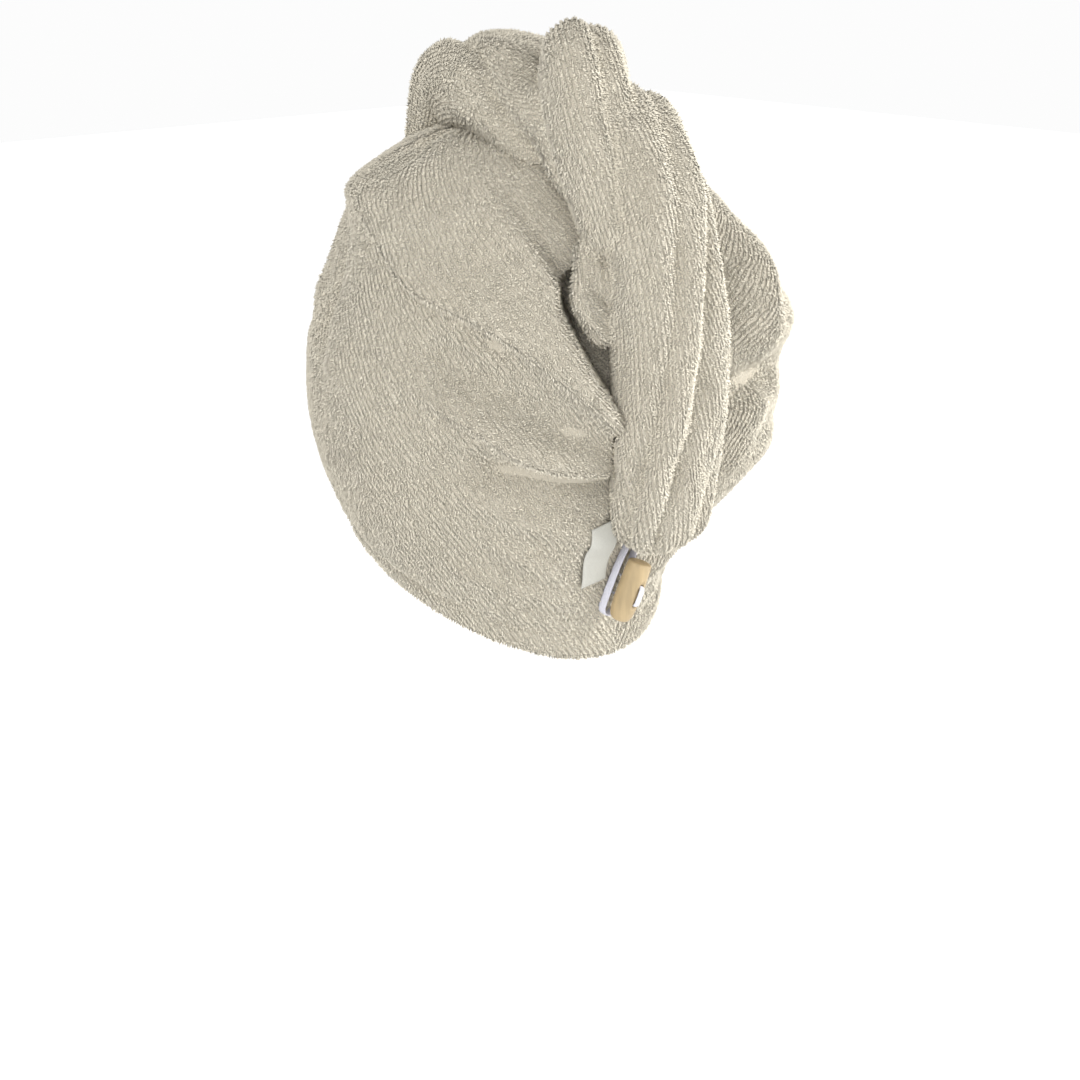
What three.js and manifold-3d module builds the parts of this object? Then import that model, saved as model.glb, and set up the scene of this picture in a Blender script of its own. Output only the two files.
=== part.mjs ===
// Hair turban towel in its worn form: a soft hood with a twisted tail laid over the crown,
// held at the nape by an elastic loop on a wooden toggle.
// Millimetres, +Z up, the face looks toward -Y, the wearer's left is +X.
// The origin is the centre of the opening that the head goes into.

import * as THREE from 'three';
import Module from 'manifold-3d';

const wasm = await Module();
wasm.setup();

// Driving sizes of the hood
const openingLength = 161; // inside the hem, forehead to nape
const openingWidth = 147; // inside the hem, ear to ear
const hoodHeight = 232; // middle of the opening to the crown
const openingRise = 57; // how much higher the forehead side of the rim is than the nape side
const earArch = 9; // how much the rim lifts over each ear
const clothThickness = 3;
const hemThickness = 5.5; // the cloth turned once to the inside
const hemDepth = 10;
const seamDepth = 1.2; // groove that the hem's seam pulls in
const swellReach = 41; // how far the slack pocket at the right back stands out
const foldHeight = 9;
const foldReach = 16; // how far a fold spreads to each side of its crest
const foldStart = 0.3; // share of its path over which a fold grows
const foldTrace = 0.2; // share of its height that a fold keeps at its ends

// Driving sizes of the tail
const tailWidth = 70;
const tailThickness = 44;
const creaseDepth = 8;
const fullness = 2.3; // roundness of a roll's section: 2 is an ellipse, more is squarer

// Driving sizes of the fastening
const toggleLength = 32;
const toggleDiameter = 13;
const toggleEndShare = 0.72; // how much narrower the ends are than the middle
const holeDiameter = 3;
const holeSpacing = 10;
const threadDiameter = 2.2;
const shankLength = 5; // thread between the hood and the toggle
const loopWidth = 4.2;
const loopThickness = 1;
const loopSpan = 13; // across the two strands of the loop
const loopLength = 38;
const loopGap = 0.4; // between the loop and the pile behind it
const labelWidth = 14.5;
const labelHeight = 31;
const labelThickness = 0.9;
const labelGap = 0.5; // between the label and the pile it lies on
const clearance = 0.3;

// Fineness of the meshes
const hoodColumns = 70;
const hoodLevels = 31;
const liningLevels = 9;
const backCrowding = 0.055; // gathers the columns toward the folded back

const rimHalfLength = openingLength / 2 + hemThickness;
const rimHalfWidth = openingWidth / 2 + hemThickness;
const openingSlope = openingRise / (2 * rimHalfLength);
const headMiddle = new THREE.Vector3(0, 0, 0.45 * hoodHeight);

// Outline of the hood: front, left, back and right are shares of the rim's half length or
// half width, and rise is a share of the hood's height.
const hoodSections = [
  { rise: 0, front: 1.02, left: 1.02, back: 0.98, right: 1.02 },
  { rise: 0.09, front: 1.12, left: 1.12, back: 0.98, right: 1.11 },
  { rise: 0.19, front: 1.21, left: 1.21, back: 1.0, right: 1.23 },
  { rise: 0.3, front: 1.27, left: 1.26, back: 1.06, right: 1.36 },
  { rise: 0.44, front: 1.26, left: 1.25, back: 1.12, right: 1.42 },
  { rise: 0.54, front: 1.17, left: 1.17, back: 1.11, right: 1.4 },
  { rise: 0.64, front: 1.07, left: 1.07, back: 1.06, right: 1.3 },
  { rise: 0.75, front: 0.98, left: 0.98, back: 1.0, right: 1.14 },
  { rise: 0.83, front: 0.93, left: 0.94, back: 0.92, right: 0.99 },
  { rise: 0.885, front: 0.82, left: 0.83, back: 0.82, right: 0.85 },
  { rise: 0.935, front: 0.65, left: 0.69, back: 0.68, right: 0.67 },
  { rise: 0.975, front: 0.42, left: 0.48, back: 0.44, right: 0.43 },
  { rise: 0.995, front: 0.15, left: 0.17, back: 0.17, right: 0.17 },
  { rise: 1, front: 0, left: 0, back: 0, right: 0 },
];

// Slack pockets: azimuth and spread in degrees from the face toward the wearer's left,
// rise and tall are shares of the hood's height, reach is a share of swellReach.
const swells = [
  { azimuth: 234, rise: 0.64, spread: 36, tall: 0.26, reach: 1 },
  { azimuth: 226, rise: 0.33, spread: 34, tall: 0.13, reach: 0.62 },
  { azimuth: 229, rise: 0.605, spread: 14, tall: 0.06, reach: 0.2 },
  { azimuth: 163, rise: 0.34, spread: 22, tall: 0.2, reach: 0.12 },
  { azimuth: 232, rise: 0.86, spread: 16, tall: 0.07, reach: 0.2 },
];

// Folds and creases of the hood: a path of azimuths and rises, the height of its crest as a
// share of foldHeight, its reach above and below the crest as shares of foldReach, and the
// share of the path over which it fades out at the far end.
const hoodFolds = [
  { azimuth: [68, 90, 109, 134, 150, 162, 169, 176],
    rise: [0.85, 0.775, 0.706, 0.652, 0.585, 0.522, 0.478, 0.43],
    height: 1.2, above: 1.2, below: 0.34, ending: 0.3 },
  { azimuth: [106, 120, 137, 154, 174],
    rise: [0.61, 0.575, 0.534, 0.476, 0.4],
    height: -0.7, above: 0.5, below: 0.9, ending: 0.15 },
  { azimuth: [136, 151, 155, 159, 164, 172],
    rise: [0.87, 0.756, 0.676, 0.616, 0.556, 0.47],
    height: 1.15, above: 0.36, below: 0.7, ending: 0.2 },
  { azimuth: [157, 162, 167, 174],
    rise: [0.74, 0.69, 0.6, 0.5],
    height: -2, above: 0.8, below: 0.5, ending: 0.3 },
  { azimuth: [104, 130, 143, 152, 176],
    rise: [0.52, 0.467, 0.422, 0.404, 0.385],
    height: 0.9, above: 1.1, below: 0.3, ending: 0.15 },
  { azimuth: [126, 138, 152, 176],
    rise: [0.4, 0.379, 0.37, 0.365],
    height: -0.55, above: 0.25, below: 0.7, ending: 0.15 },
  { azimuth: [130, 138, 150, 166],
    rise: [0.236, 0.216, 0.18, 0.15],
    height: 0.45, above: 0.4, below: 0.3, ending: 0.3 },
  { azimuth: [118, 128, 146, 172],
    rise: [0.14, 0.132, 0.123, 0.106],
    height: 0.4, above: 0.35, below: 0.25, ending: 0.3 },
  { azimuth: [124, 140, 158, 174],
    rise: [0.31, 0.29, 0.262, 0.24],
    height: 0.45, above: 0.5, below: 0.35, ending: 0.2 },
  { azimuth: [50, 53, 57, 59, 68],
    rise: [0.76, 0.7, 0.61, 0.526, 0.44],
    height: -0.9, above: 0.5, below: 0.5, ending: 0.3 },
  { azimuth: [40, 55, 74, 92],
    rise: [0.845, 0.868, 0.872, 0.84],
    height: 0.7, above: 0.75, below: 0.8, ending: 0.3 },
  { azimuth: [64, 74, 86],
    rise: [0.975, 0.962, 0.93],
    height: -1.2, above: 0.6, below: 0.6, ending: 0.3 },
  { azimuth: [218, 214, 211, 209, 207],
    rise: [0.84, 0.78, 0.71, 0.64, 0.56],
    height: -1.5, above: 0.8, below: 0.8, ending: 0.25 },
  { azimuth: [240, 228, 219, 214],
    rise: [0.8, 0.716, 0.642, 0.54],
    height: 0.9, above: 0.7, below: 0.45, ending: 0.25 },
  { azimuth: [203, 211, 219, 232],
    rise: [0.505, 0.509, 0.506, 0.48],
    height: -1.1, above: 0.45, below: 0.4, ending: 0.3 },
  { azimuth: [221, 214, 208, 202],
    rise: [0.48, 0.44, 0.385, 0.33],
    height: 0.5, above: 0.6, below: 0.45, ending: 0.25 },
  { azimuth: [286, 262, 244, 230],
    rise: [0.86, 0.7, 0.52, 0.38],
    height: 0.8, above: 1.1, below: 0.4, ending: 0.3 },
  { azimuth: [292, 276, 258, 246],
    rise: [0.62, 0.5, 0.38, 0.3],
    height: -0.6, above: 0.6, below: 0.8, ending: 0.3 },
  { azimuth: [320, 300, 284],
    rise: [0.86, 0.72, 0.56],
    height: -0.7, above: 0.6, below: 0.6, ending: 0.3 },
  { azimuth: [236, 218, 204, 190],
    rise: [0.27, 0.2, 0.155, 0.13],
    height: 0.5, above: 0.5, below: 0.35, ending: 0.2 },
];

// Gathers that run down from the tail's root at the forehead, as the folds above
const frontGathers = [
  { azimuth: [-24, -38, -52],
    rise: [0.87, 0.68, 0.48],
    height: 0.8, above: 0.7, below: 0.5, ending: 0.3 },
  { azimuth: [-12, -18, -24],
    rise: [0.86, 0.66, 0.44],
    height: -0.7, above: 0.5, below: 0.5, ending: 0.3 },
  { azimuth: [-2, -4, -6],
    rise: [0.85, 0.66, 0.46],
    height: 0.8, above: 0.5, below: 0.5, ending: 0.3 },
  { azimuth: [10, 15, 20],
    rise: [0.86, 0.68, 0.5],
    height: -0.7, above: 0.5, below: 0.5, ending: 0.3 },
  { azimuth: [22, 34, 46],
    rise: [0.87, 0.7, 0.5],
    height: 0.75, above: 0.5, below: 0.6, ending: 0.3 },
];

// Rolls of the twisted tail, from root to end. side, back and rise place the middle of the
// roll as shares of the rim's half width, its half length and the hood's height; across and
// deep are its half sizes as shares of half the tail's width and thickness.
const tailRolls = {
  top: [
    { side: 0, back: -0.8, rise: 0.8, across: 0.5, deep: 0.3 },
    { side: 0, back: -0.64, rise: 0.91, across: 0.54, deep: 0.62 },
    { side: 0, back: -0.42, rise: 1.035, across: 0.68, deep: 1.18 },
    { side: 0, back: -0.18, rise: 1.065, across: 0.94, deep: 1.2 },
    { side: 0, back: 0.1, rise: 1.06, across: 1.1, deep: 1.2 },
    { side: 0, back: 0.38, rise: 1.01, across: 1.04, deep: 1.04 },
    { side: -0.04, back: 0.66, rise: 0.97, across: 1, deep: 1.26 },
    { side: -0.08, back: 0.92, rise: 0.87, across: 0.85, deep: 1.1 },
    { side: -0.1, back: 1.04, rise: 0.74, across: 0.6, deep: 0.8 },
  ],
  leftWrap: [
    { side: -0.34, back: 0.2, rise: 0.98, across: 0.34, deep: 0.6 },
    { side: -0.05, back: 0.5, rise: 1.11, across: 0.38, deep: 0.78 },
    { side: 0.2, back: 0.74, rise: 1.13, across: 0.38, deep: 0.8 },
    { side: 0.28, back: 0.9, rise: 1.01, across: 0.36, deep: 0.74 },
    { side: 0.27, back: 1.01, rise: 0.9, across: 0.34, deep: 0.76 },
    { side: 0.22, back: 1.11, rise: 0.77, across: 0.28, deep: 0.6 },
  ],
  rightWrap: [
    { side: -0.5, back: 0.3, rise: 0.95, across: 0.42, deep: 0.7 },
    { side: -0.25, back: 0.5, rise: 1.08, across: 0.44, deep: 0.76 },
    { side: 0.03, back: 0.74, rise: 1.13, across: 0.42, deep: 0.74 },
    { side: 0.12, back: 0.92, rise: 1.03, across: 0.42, deep: 0.74 },
    { side: 0.15, back: 1.02, rise: 0.92, across: 0.4, deep: 0.76 },
    { side: 0.14, back: 1.12, rise: 0.78, across: 0.3, deep: 0.6 },
  ],
  knot: [
    { side: 0.26, back: 0.95, rise: 0.8, across: 0.2, deep: 0.4 },
    { side: 0.33, back: 1.05, rise: 0.73, across: 0.24, deep: 0.36 },
    { side: 0.37, back: 1.08, rise: 0.68, across: 0.36, deep: 0.38 },
    { side: 0.34, back: 1.11, rise: 0.635, across: 0.36, deep: 0.36 },
    { side: 0.18, back: 1.12, rise: 0.6, across: 0.24, deep: 0.3 },
  ],
  fall: [
    { side: -0.14, back: 0.72, rise: 1.03, across: 0.58, deep: 0.84 },
    { side: -0.07, back: 0.99, rise: 0.98, across: 0.72, deep: 1 },
    { side: -0.05, back: 1.18, rise: 0.85, across: 0.78, deep: 1.12 },
    { side: -0.07, back: 1.26, rise: 0.7, across: 0.84, deep: 1.06 },
    { side: -0.13, back: 1.27, rise: 0.5, across: 1, deep: 1.04 },
    { side: -0.14, back: 1.24, rise: 0.34, across: 0.95, deep: 0.94 },
    { side: -0.13, back: 1.22, rise: 0.22, across: 0.86, deep: 0.86 },
    { side: -0.13, back: 1.19, rise: 0.13, across: 0.7, deep: 0.72 },
  ],
};

// Creases along the rolls: angle round the roll in degrees from its outer side toward the
// wearer's left, at the start, middle and end; depth is a share of creaseDepth.
const tailCreases = [
  { roll: 'top', start: -70, middle: 50, end: 160, depth: 0.9, spread: 13 },
  { roll: 'top', start: 70, middle: -10, end: -70, depth: 0.5, spread: 16 },
  { roll: 'top', start: 10, middle: -75, end: -115, depth: 0.7, spread: 15 },
  { roll: 'fall', start: -75, middle: -4, end: 50, depth: 1.15, spread: 11 },
  { roll: 'fall', start: -20, middle: 42, end: 98, depth: 0.75, spread: 11 },
  { roll: 'fall', start: -125, middle: -62, end: -15, depth: 0.9, spread: 12 },
  { roll: 'leftWrap', start: 60, middle: 50, end: 40, depth: 0.3, spread: 20 },
  { roll: 'knot', start: 70, middle: 0, end: -60, depth: 1, spread: 20 },
];

// Where the fastening sits on the hood
const toggleSeat = { azimuth: 177.5, rise: 0.142, lean: 15 };
const loopSeat = { azimuth: 176, rise: 0.148, lean: 17 };
const labelSeat = { azimuth: 168, rise: 0.212, lean: 9 };

const radians = THREE.MathUtils.degToRad;

// A smooth value through one column of a table, t from 0 at the first row to 1 at the last
function along(values, t) {
  const last = values.length - 1;
  const place = THREE.MathUtils.clamp(t, 0, 1) * last;
  const row = Math.min(Math.floor(place), last - 1);
  const f = place - row;
  const at = (index) => values[THREE.MathUtils.clamp(index, 0, last)];
  const [a, b, c, d] = [at(row - 1), at(row), at(row + 1), at(row + 2)];
  const linear = (c - a) * f;
  const square = (2 * a - 5 * b + 4 * c - d) * f * f;
  const cube = (3 * b - a - 3 * c + d) * f * f * f;
  return 0.5 * (2 * b + linear + square + cube);
}

const column = (table, name) => table.map((row) => row[name]);
const riseColumn = column(hoodSections, 'rise');
const sideColumns = {
  front: column(hoodSections, 'front'),
  left: column(hoodSections, 'left'),
  back: column(hoodSections, 'back'),
  right: column(hoodSections, 'right'),
};
const bell = (x) => Math.exp(-x * x);

// Level of the outline table at which the hood has reached the given rise
function levelOf(rise) {
  let low = 0;
  let high = 1;
  for (let i = 0; i < 30; i += 1) {
    const middle = (low + high) / 2;
    if (along(riseColumn, middle) < rise) low = middle;
    else high = middle;
  }
  return (low + high) / 2;
}

// Each fold's path as short straight steps on the unrolled hood, in millimetres
const girthPerDegree = (Math.PI * (rimHalfLength + rimHalfWidth)) / 360;
const unrolled = [...hoodFolds, ...frontGathers].map((fold) => {
  const steps = 5 * (fold.azimuth.length - 1);
  const points = [];
  for (let i = 0; i <= steps; i += 1) {
    const x = along(fold.azimuth, i / steps) * girthPerDegree;
    const y = along(fold.rise, i / steps) * hoodHeight;
    points.push(new THREE.Vector2(x, y));
  }
  return { ...fold, points };
});

// Height that one fold adds at a place on the unrolled hood
function foldAt(fold, x, y) {
  let nearest = Infinity;
  let side = 1;
  let share = 0;
  for (let i = 1; i < fold.points.length; i += 1) {
    const [a, b] = [fold.points[i - 1], fold.points[i]];
    const [dx, dy] = [b.x - a.x, b.y - a.y];
    const f = THREE.MathUtils.clamp(((x - a.x) * dx + (y - a.y) * dy) / (dx * dx + dy * dy), 0, 1);
    const distance = Math.hypot(x - a.x - f * dx, y - a.y - f * dy);
    if (distance < nearest) {
      nearest = distance;
      side = Math.sign(dx * (y - a.y) - dy * (x - a.x)) * Math.sign(dx || 1);
      share = (i - 1 + f) / (fold.points.length - 1);
    }
  }
  const reach = foldReach * (side >= 0 ? fold.above : fold.below);
  const grown = THREE.MathUtils.smoothstep(share, 0, foldStart) * (1 - foldTrace) + foldTrace;
  const kept = THREE.MathUtils.smoothstep(1 - share, 0, fold.ending) * (1 - foldTrace) + foldTrace;
  return foldHeight * fold.height * grown * kept * bell(nearest / reach);
}

// Point on the outer surface of the hood, at an azimuth in degrees and a level of the outline
function hoodPoint(azimuth, level) {
  const turn = radians(azimuth);
  const toLeft = Math.sin(turn);
  const toBack = -Math.cos(turn);
  const rise = along(riseColumn, level);
  const side = along(toLeft > 0 ? sideColumns.left : sideColumns.right, level) * rimHalfWidth;
  const end = along(toBack > 0 ? sideColumns.back : sideColumns.front, level) * rimHalfLength;
  const narrow = 1e-6;
  let reach = 1 / Math.hypot(toLeft / Math.max(side, narrow), toBack / Math.max(end, narrow));
  const nearPole = Math.min(1, reach / (0.5 * rimHalfLength));
  for (const swell of swells) {
    const away = THREE.MathUtils.euclideanModulo(azimuth - swell.azimuth + 180, 360) - 180;
    const strength = bell(away / swell.spread) * bell((rise - swell.rise) / swell.tall);
    reach += swellReach * swell.reach * strength * nearPole;
  }
  const fromHem = THREE.MathUtils.smoothstep(rise * hoodHeight, 0.5 * hemDepth, 2 * hemDepth);
  for (const fold of unrolled) {
    for (const lap of [-360, 0, 360]) {
      const x = (azimuth + lap) * girthPerDegree;
      reach += foldAt(fold, x, rise * hoodHeight) * nearPole * fromHem;
    }
  }
  reach -= seamDepth * bell((rise * hoodHeight - hemDepth) / (0.25 * hemDepth));
  const fallOff = (1 - rise) ** 1.3;
  const arch = earArch * toLeft * toLeft * (1 - rise) ** 2;
  const z = rise * hoodHeight - openingSlope * fallOff * reach * toBack + arch;
  return new THREE.Vector3(reach * toLeft, reach * toBack, z);
}

// Outward direction of the hood at the same place
function hoodNormal(azimuth, level, step = 0.004) {
  if (level > 1 - step) return new THREE.Vector3(0, 0, 1);
  const low = Math.max(level - step, 0);
  const around = hoodPoint(azimuth + 1.5, level).sub(hoodPoint(azimuth - 1.5, level));
  const upward = hoodPoint(azimuth, level + step).sub(hoodPoint(azimuth, low));
  return around.cross(upward).normalize();
}

// Closed body over a chain of rings, each with as many points; a ring of one point is a tip
function skin(rings) {
  const positions = [];
  const starts = rings.map((ring) => {
    const start = positions.length / 3;
    for (const point of ring) positions.push(point.x, point.y, point.z);
    return start;
  });
  const faces = [];
  for (let i = 1; i < rings.length; i += 1) {
    const [a, b] = [rings[i - 1].length, rings[i].length];
    const count = Math.max(a, b);
    for (let j = 0; j < count; j += 1) {
      const k = (j + 1) % count;
      if (a > 1) faces.push(starts[i - 1] + j, starts[i] + (b > 1 ? j : 0), starts[i - 1] + k);
      if (b > 1) faces.push(starts[i] + j, starts[i] + k, starts[i - 1] + (a > 1 ? k : 0));
    }
  }
  const geometry = new THREE.BufferGeometry();
  geometry.setAttribute('position', new THREE.Float32BufferAttribute(positions, 3));
  geometry.setIndex(faces);
  return geometry;
}

function meanOf(points) {
  const sum = new THREE.Vector3();
  for (const point of points) sum.add(point);
  return sum.divideScalar(points.length);
}

// Joins and cuts
function toSolid(geometry) {
  const vertProperties = new Float32Array(geometry.getAttribute('position').array);
  const triVerts = new Uint32Array(geometry.getIndex().array);
  return new wasm.Manifold(new wasm.Mesh({ numProp: 3, vertProperties, triVerts }));
}

function fromSolid(solid) {
  const mesh = solid.getMesh();
  const geometry = new THREE.BufferGeometry();
  geometry.setAttribute('position', new THREE.BufferAttribute(mesh.vertProperties, 3));
  geometry.setIndex(new THREE.BufferAttribute(mesh.triVerts, 1));
  return geometry;
}

// Azimuths of the hood's columns, closer together at the back
const azimuths = Array.from({ length: hoodColumns }, (_, i) => {
  const share = i / hoodColumns;
  return 360 * (share + backCrowding * Math.sin(2 * Math.PI * share));
});

// Levels of the outer surface from the crown down, with three at the hem's seam
const seamLevels = [1.5, 1, 0.5].map((share) => levelOf((share * hemDepth) / hoodHeight));
const firstAbove = levelOf((2.2 * hemDepth) / hoodHeight);
const outerLevels = [];
for (let i = 1; i < hoodLevels; i += 1) {
  outerLevels.push(1 - (i / (hoodLevels - 1)) * (1 - firstAbove));
}
outerLevels.push(...seamLevels, 0);

// Rings of the hood's outer surface from the crown down, moved out along its normals
function outerRings(offset) {
  return outerLevels.map((level) => azimuths.map((azimuth) => (
    hoodPoint(azimuth, level).addScaledVector(hoodNormal(azimuth, level), offset)
  )));
}

function crownTip(offset) {
  return [new THREE.Vector3(0, 0, hoodHeight + offset)];
}

// Rounded edge between the outer surface and the turned hem
function rimRing(angle) {
  return azimuths.map((azimuth) => {
    const outer = hoodPoint(azimuth, 0);
    const normal = hoodNormal(azimuth, 0);
    const down = outer.clone().sub(hoodPoint(azimuth, seamLevels[1])).normalize();
    const radius = hemThickness / 2;
    return outer
      .addScaledVector(normal, -radius + radius * Math.cos(angle))
      .addScaledVector(down, radius * Math.sin(angle));
  });
}

function liningRings() {
  const hemTop = seamLevels[1];
  const stepTop = levelOf((1.35 * hemDepth) / hoodHeight);
  const rings = [];
  const ringAt = (level, thickness) => azimuths.map((azimuth) => (
    hoodPoint(azimuth, level).addScaledVector(hoodNormal(azimuth, level), -thickness)
  ));
  rings.push(ringAt(0, hemThickness), ringAt(hemTop, hemThickness), ringAt(stepTop, clothThickness));
  for (let i = 1; i < liningLevels; i += 1) {
    rings.push(ringAt(stepTop + (i / liningLevels) * (1 - stepTop), clothThickness));
  }
  return rings;
}

function hoodGeometry() {
  const rimAngles = [0.25, 0.5, 0.75].map((share) => share * Math.PI);
  return skin([
    crownTip(0),
    ...outerRings(0),
    ...rimAngles.map(rimRing),
    ...liningRings(),
    crownTip(-clothThickness),
  ]);
}

// The hood's outer surface closed straight across below, to cut what lies on it
function hoodPlug(offset) {
  const rings = outerRings(offset);
  return toSolid(skin([crownTip(offset), ...rings, [meanOf(rings[rings.length - 1])]]));
}

// One roll of the tail, swept along its table with a rounded tip at each end
function rollSolid(name, steps, sides) {
  const rows = tailRolls[name];
  const creases = tailCreases.filter((crease) => crease.roll === name);
  const value = (key, t) => along(column(rows, key), t);
  const centre = (t) => new THREE.Vector3(
    value('side', t) * rimHalfWidth,
    value('back', t) * rimHalfLength,
    value('rise', t) * hoodHeight,
  );
  const tip = 0.1;
  const rings = [];
  for (let i = 0; i <= steps; i += 1) {
    const t = i / steps;
    const middle = centre(t);
    if (i === 0 || i === steps) {
      rings.push([middle]);
      continue;
    }
    const heading = centre(Math.min(t + 0.02, 1)).sub(centre(Math.max(t - 0.02, 0))).normalize();
    const outward = middle.clone().sub(headMiddle);
    outward.addScaledVector(heading, -outward.dot(heading)).normalize();
    const across = heading.clone().cross(outward);
    const round = Math.sqrt(1 - (1 - Math.min(1, t / tip, (1 - t) / tip)) ** 2);
    const halfWidth = (value('across', t) * tailWidth * round) / 2;
    const halfDepth = (value('deep', t) * tailThickness * round) / 2;
    const ring = [];
    for (let j = 0; j < sides; j += 1) {
      const angle = (-j / sides) * 2 * Math.PI;
      let shrink = 0;
      for (const crease of creases) {
        const place = radians(along([crease.start, crease.middle, crease.end], t));
        const away = Math.atan2(Math.sin(angle - place), Math.cos(angle - place));
        shrink += crease.depth * bell(away / radians(crease.spread)) * round;
      }
      const size = 1 - (shrink * creaseDepth * 2) / tailWidth;
      const out = Math.sign(Math.cos(angle)) * Math.abs(Math.cos(angle)) ** (2 / fullness);
      const left = Math.sign(Math.sin(angle)) * Math.abs(Math.sin(angle)) ** (2 / fullness);
      ring.push(middle.clone()
        .addScaledVector(outward, halfDepth * out * size)
        .addScaledVector(across, halfWidth * left * size));
    }
    rings.push(ring);
  }
  return toSolid(skin(rings));
}

// Frame on the hood's surface: out along its normal, up toward the crown and to the left.
// A positive lean tips the top toward the wearer's right.
function seatOn(seat) {
  const level = levelOf(seat.rise);
  const origin = hoodPoint(seat.azimuth, level);
  const normal = hoodNormal(seat.azimuth, level, 0.03);
  const left = normal.clone().cross(new THREE.Vector3(0, 0, 1)).normalize();
  const upward = left.clone().cross(normal);
  const turn = radians(seat.lean);
  const up = upward.clone().multiplyScalar(Math.cos(turn)).addScaledVector(left, -Math.sin(turn));
  const across = left.multiplyScalar(Math.cos(turn)).addScaledVector(upward, Math.sin(turn));
  return { origin, normal, up, across };
}

const place = (seat, side, up, out) => seat.origin.clone()
  .addScaledVector(seat.across, side)
  .addScaledVector(seat.up, up)
  .addScaledVector(seat.normal, out);

// Round bar through a list of points with a radius at each, closed by tips
function bar(points, radii, sides, firstAxis) {
  const rings = [[points[0]]];
  for (let i = 0; i < points.length; i += 1) {
    const before = points[Math.max(i - 1, 0)];
    const after = points[Math.min(i + 1, points.length - 1)];
    const heading = after.clone().sub(before).normalize();
    const u = firstAxis.clone().addScaledVector(heading, -firstAxis.dot(heading)).normalize();
    const v = heading.clone().cross(u);
    rings.push(Array.from({ length: sides }, (_, j) => {
      const angle = (-j / sides) * 2 * Math.PI;
      return points[i].clone()
        .addScaledVector(u, radii[i] * Math.cos(angle))
        .addScaledVector(v, radii[i] * Math.sin(angle));
    }));
  }
  rings.push([points[points.length - 1]]);
  return toSolid(skin(rings));
}

const toggleHeight = shankLength + toggleDiameter / 2;

function toggleSolid() {
  const seat = seatOn(toggleSeat);
  const shares = [1, 0.94, 0.6, 0, -0.5, -0.82, -0.95, -1];
  const widths = [0.86, 0.93, 0.98, 1, 0.98, toggleEndShare + 0.16, toggleEndShare, 0.45];
  const points = shares.map((share) => place(seat, 0, (share * toggleLength) / 2, toggleHeight));
  const radii = widths.map((share) => (share * toggleDiameter) / 2);
  let solid = bar(points, radii, 20, seat.normal);
  for (const share of [-0.5, 0.5]) {
    const ends = [0, toggleHeight + toggleDiameter].map((out) => place(seat, 0, share * holeSpacing, out));
    solid = solid.subtract(bar(ends, [holeDiameter / 2, holeDiameter / 2], 12, seat.up));
  }
  return solid;
}

// Thread from the hood up through one hole, over to the other and down again
function threadSolid(hood) {
  const seat = seatOn(toggleSeat);
  const radius = threadDiameter / 2;
  const top = toggleHeight + toggleDiameter / 2 + clearance + radius;
  const low = holeSpacing / 2;
  const route = [
    [-low, -clothThickness], [-low, top - 2 * radius], [-low + 0.35 * radius, top - 0.6 * radius],
    [-low + 1.4 * radius, top], [low - 1.4 * radius, top],
    [low - 0.35 * radius, top - 0.6 * radius], [low, top - 2 * radius], [low, -clothThickness],
  ];
  const points = route.map(([up, out]) => place(seat, 0, up, out));
  return bar(points, points.map(() => radius), 10, seat.across).subtract(hood);
}

// Flat elastic on edge: down one side of the thread, round below it and back up,
// or the room that it needs
function loopSolid(room) {
  const seat = seatOn(loopSeat);
  const bend = loopSpan / 2;
  const straight = loopLength - bend;
  const route = [[-bend * 0.7, straight * 0.62], [-bend, 0]];
  const turns = 8;
  for (let i = 0; i <= turns; i += 1) {
    const angle = Math.PI * (i / turns);
    route.push([-bend * Math.cos(angle), -straight * 0.38 - bend * Math.sin(angle)]);
  }
  route.push([bend, 0], [bend * 0.7, straight * 0.62]);
  const low = loopGap - room;
  const high = loopGap + loopWidth + room;
  const half = loopThickness / 2 + room;
  const rings = route.map(([side, up], i) => {
    const before = route[Math.max(i - 1, 0)];
    const after = route[Math.min(i + 1, route.length - 1)];
    const length = Math.hypot(after[0] - before[0], after[1] - before[1]);
    const nx = (after[1] - before[1]) / length;
    const ny = -(after[0] - before[0]) / length;
    const corners = [[-half, low], [-half, high], [half, high], [half, low]];
    return corners.map(([move, out]) => place(seat, side + nx * move, up + ny * move, out));
  });
  const chain = [[meanOf(rings[0])], ...rings, [meanOf(rings[rings.length - 1])]];
  return toSolid(skin(chain));
}

// Folded tab laid on the hood and bent to its curve, or the room that it needs
function labelSolid(room) {
  const steps = 6;
  const origin = hoodPoint(labelSeat.azimuth, levelOf(labelSeat.rise));
  const degreesPerMillimetre = THREE.MathUtils.radToDeg(1 / Math.hypot(origin.x, origin.y));
  const turn = radians(labelSeat.lean);
  const onHood = (side, up, out) => {
    const left = side * Math.cos(turn) - up * Math.sin(turn);
    const rise = up * Math.cos(turn) + side * Math.sin(turn);
    const azimuth = labelSeat.azimuth - left * degreesPerMillimetre;
    const level = levelOf(labelSeat.rise + rise / hoodHeight);
    return hoodPoint(azimuth, level).addScaledVector(hoodNormal(azimuth, level, 0.03), out);
  };
  const low = labelGap - room;
  const high = labelGap + labelThickness + room;
  const rings = [];
  for (let i = 0; i <= steps; i += 1) {
    const up = (0.5 - i / steps) * (labelHeight + 2 * room);
    const ring = [];
    const sideAt = (j) => (j / steps - 0.5) * (labelWidth + 2 * room);
    for (let j = 0; j <= steps; j += 1) ring.push(onHood(sideAt(j), up, low));
    for (let j = steps; j >= 0; j -= 1) ring.push(onHood(sideAt(j), up, high));
    rings.push(ring);
  }
  return toSolid(skin([[meanOf(rings[0])], ...rings, [meanOf(rings[steps])]]));
}

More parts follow.
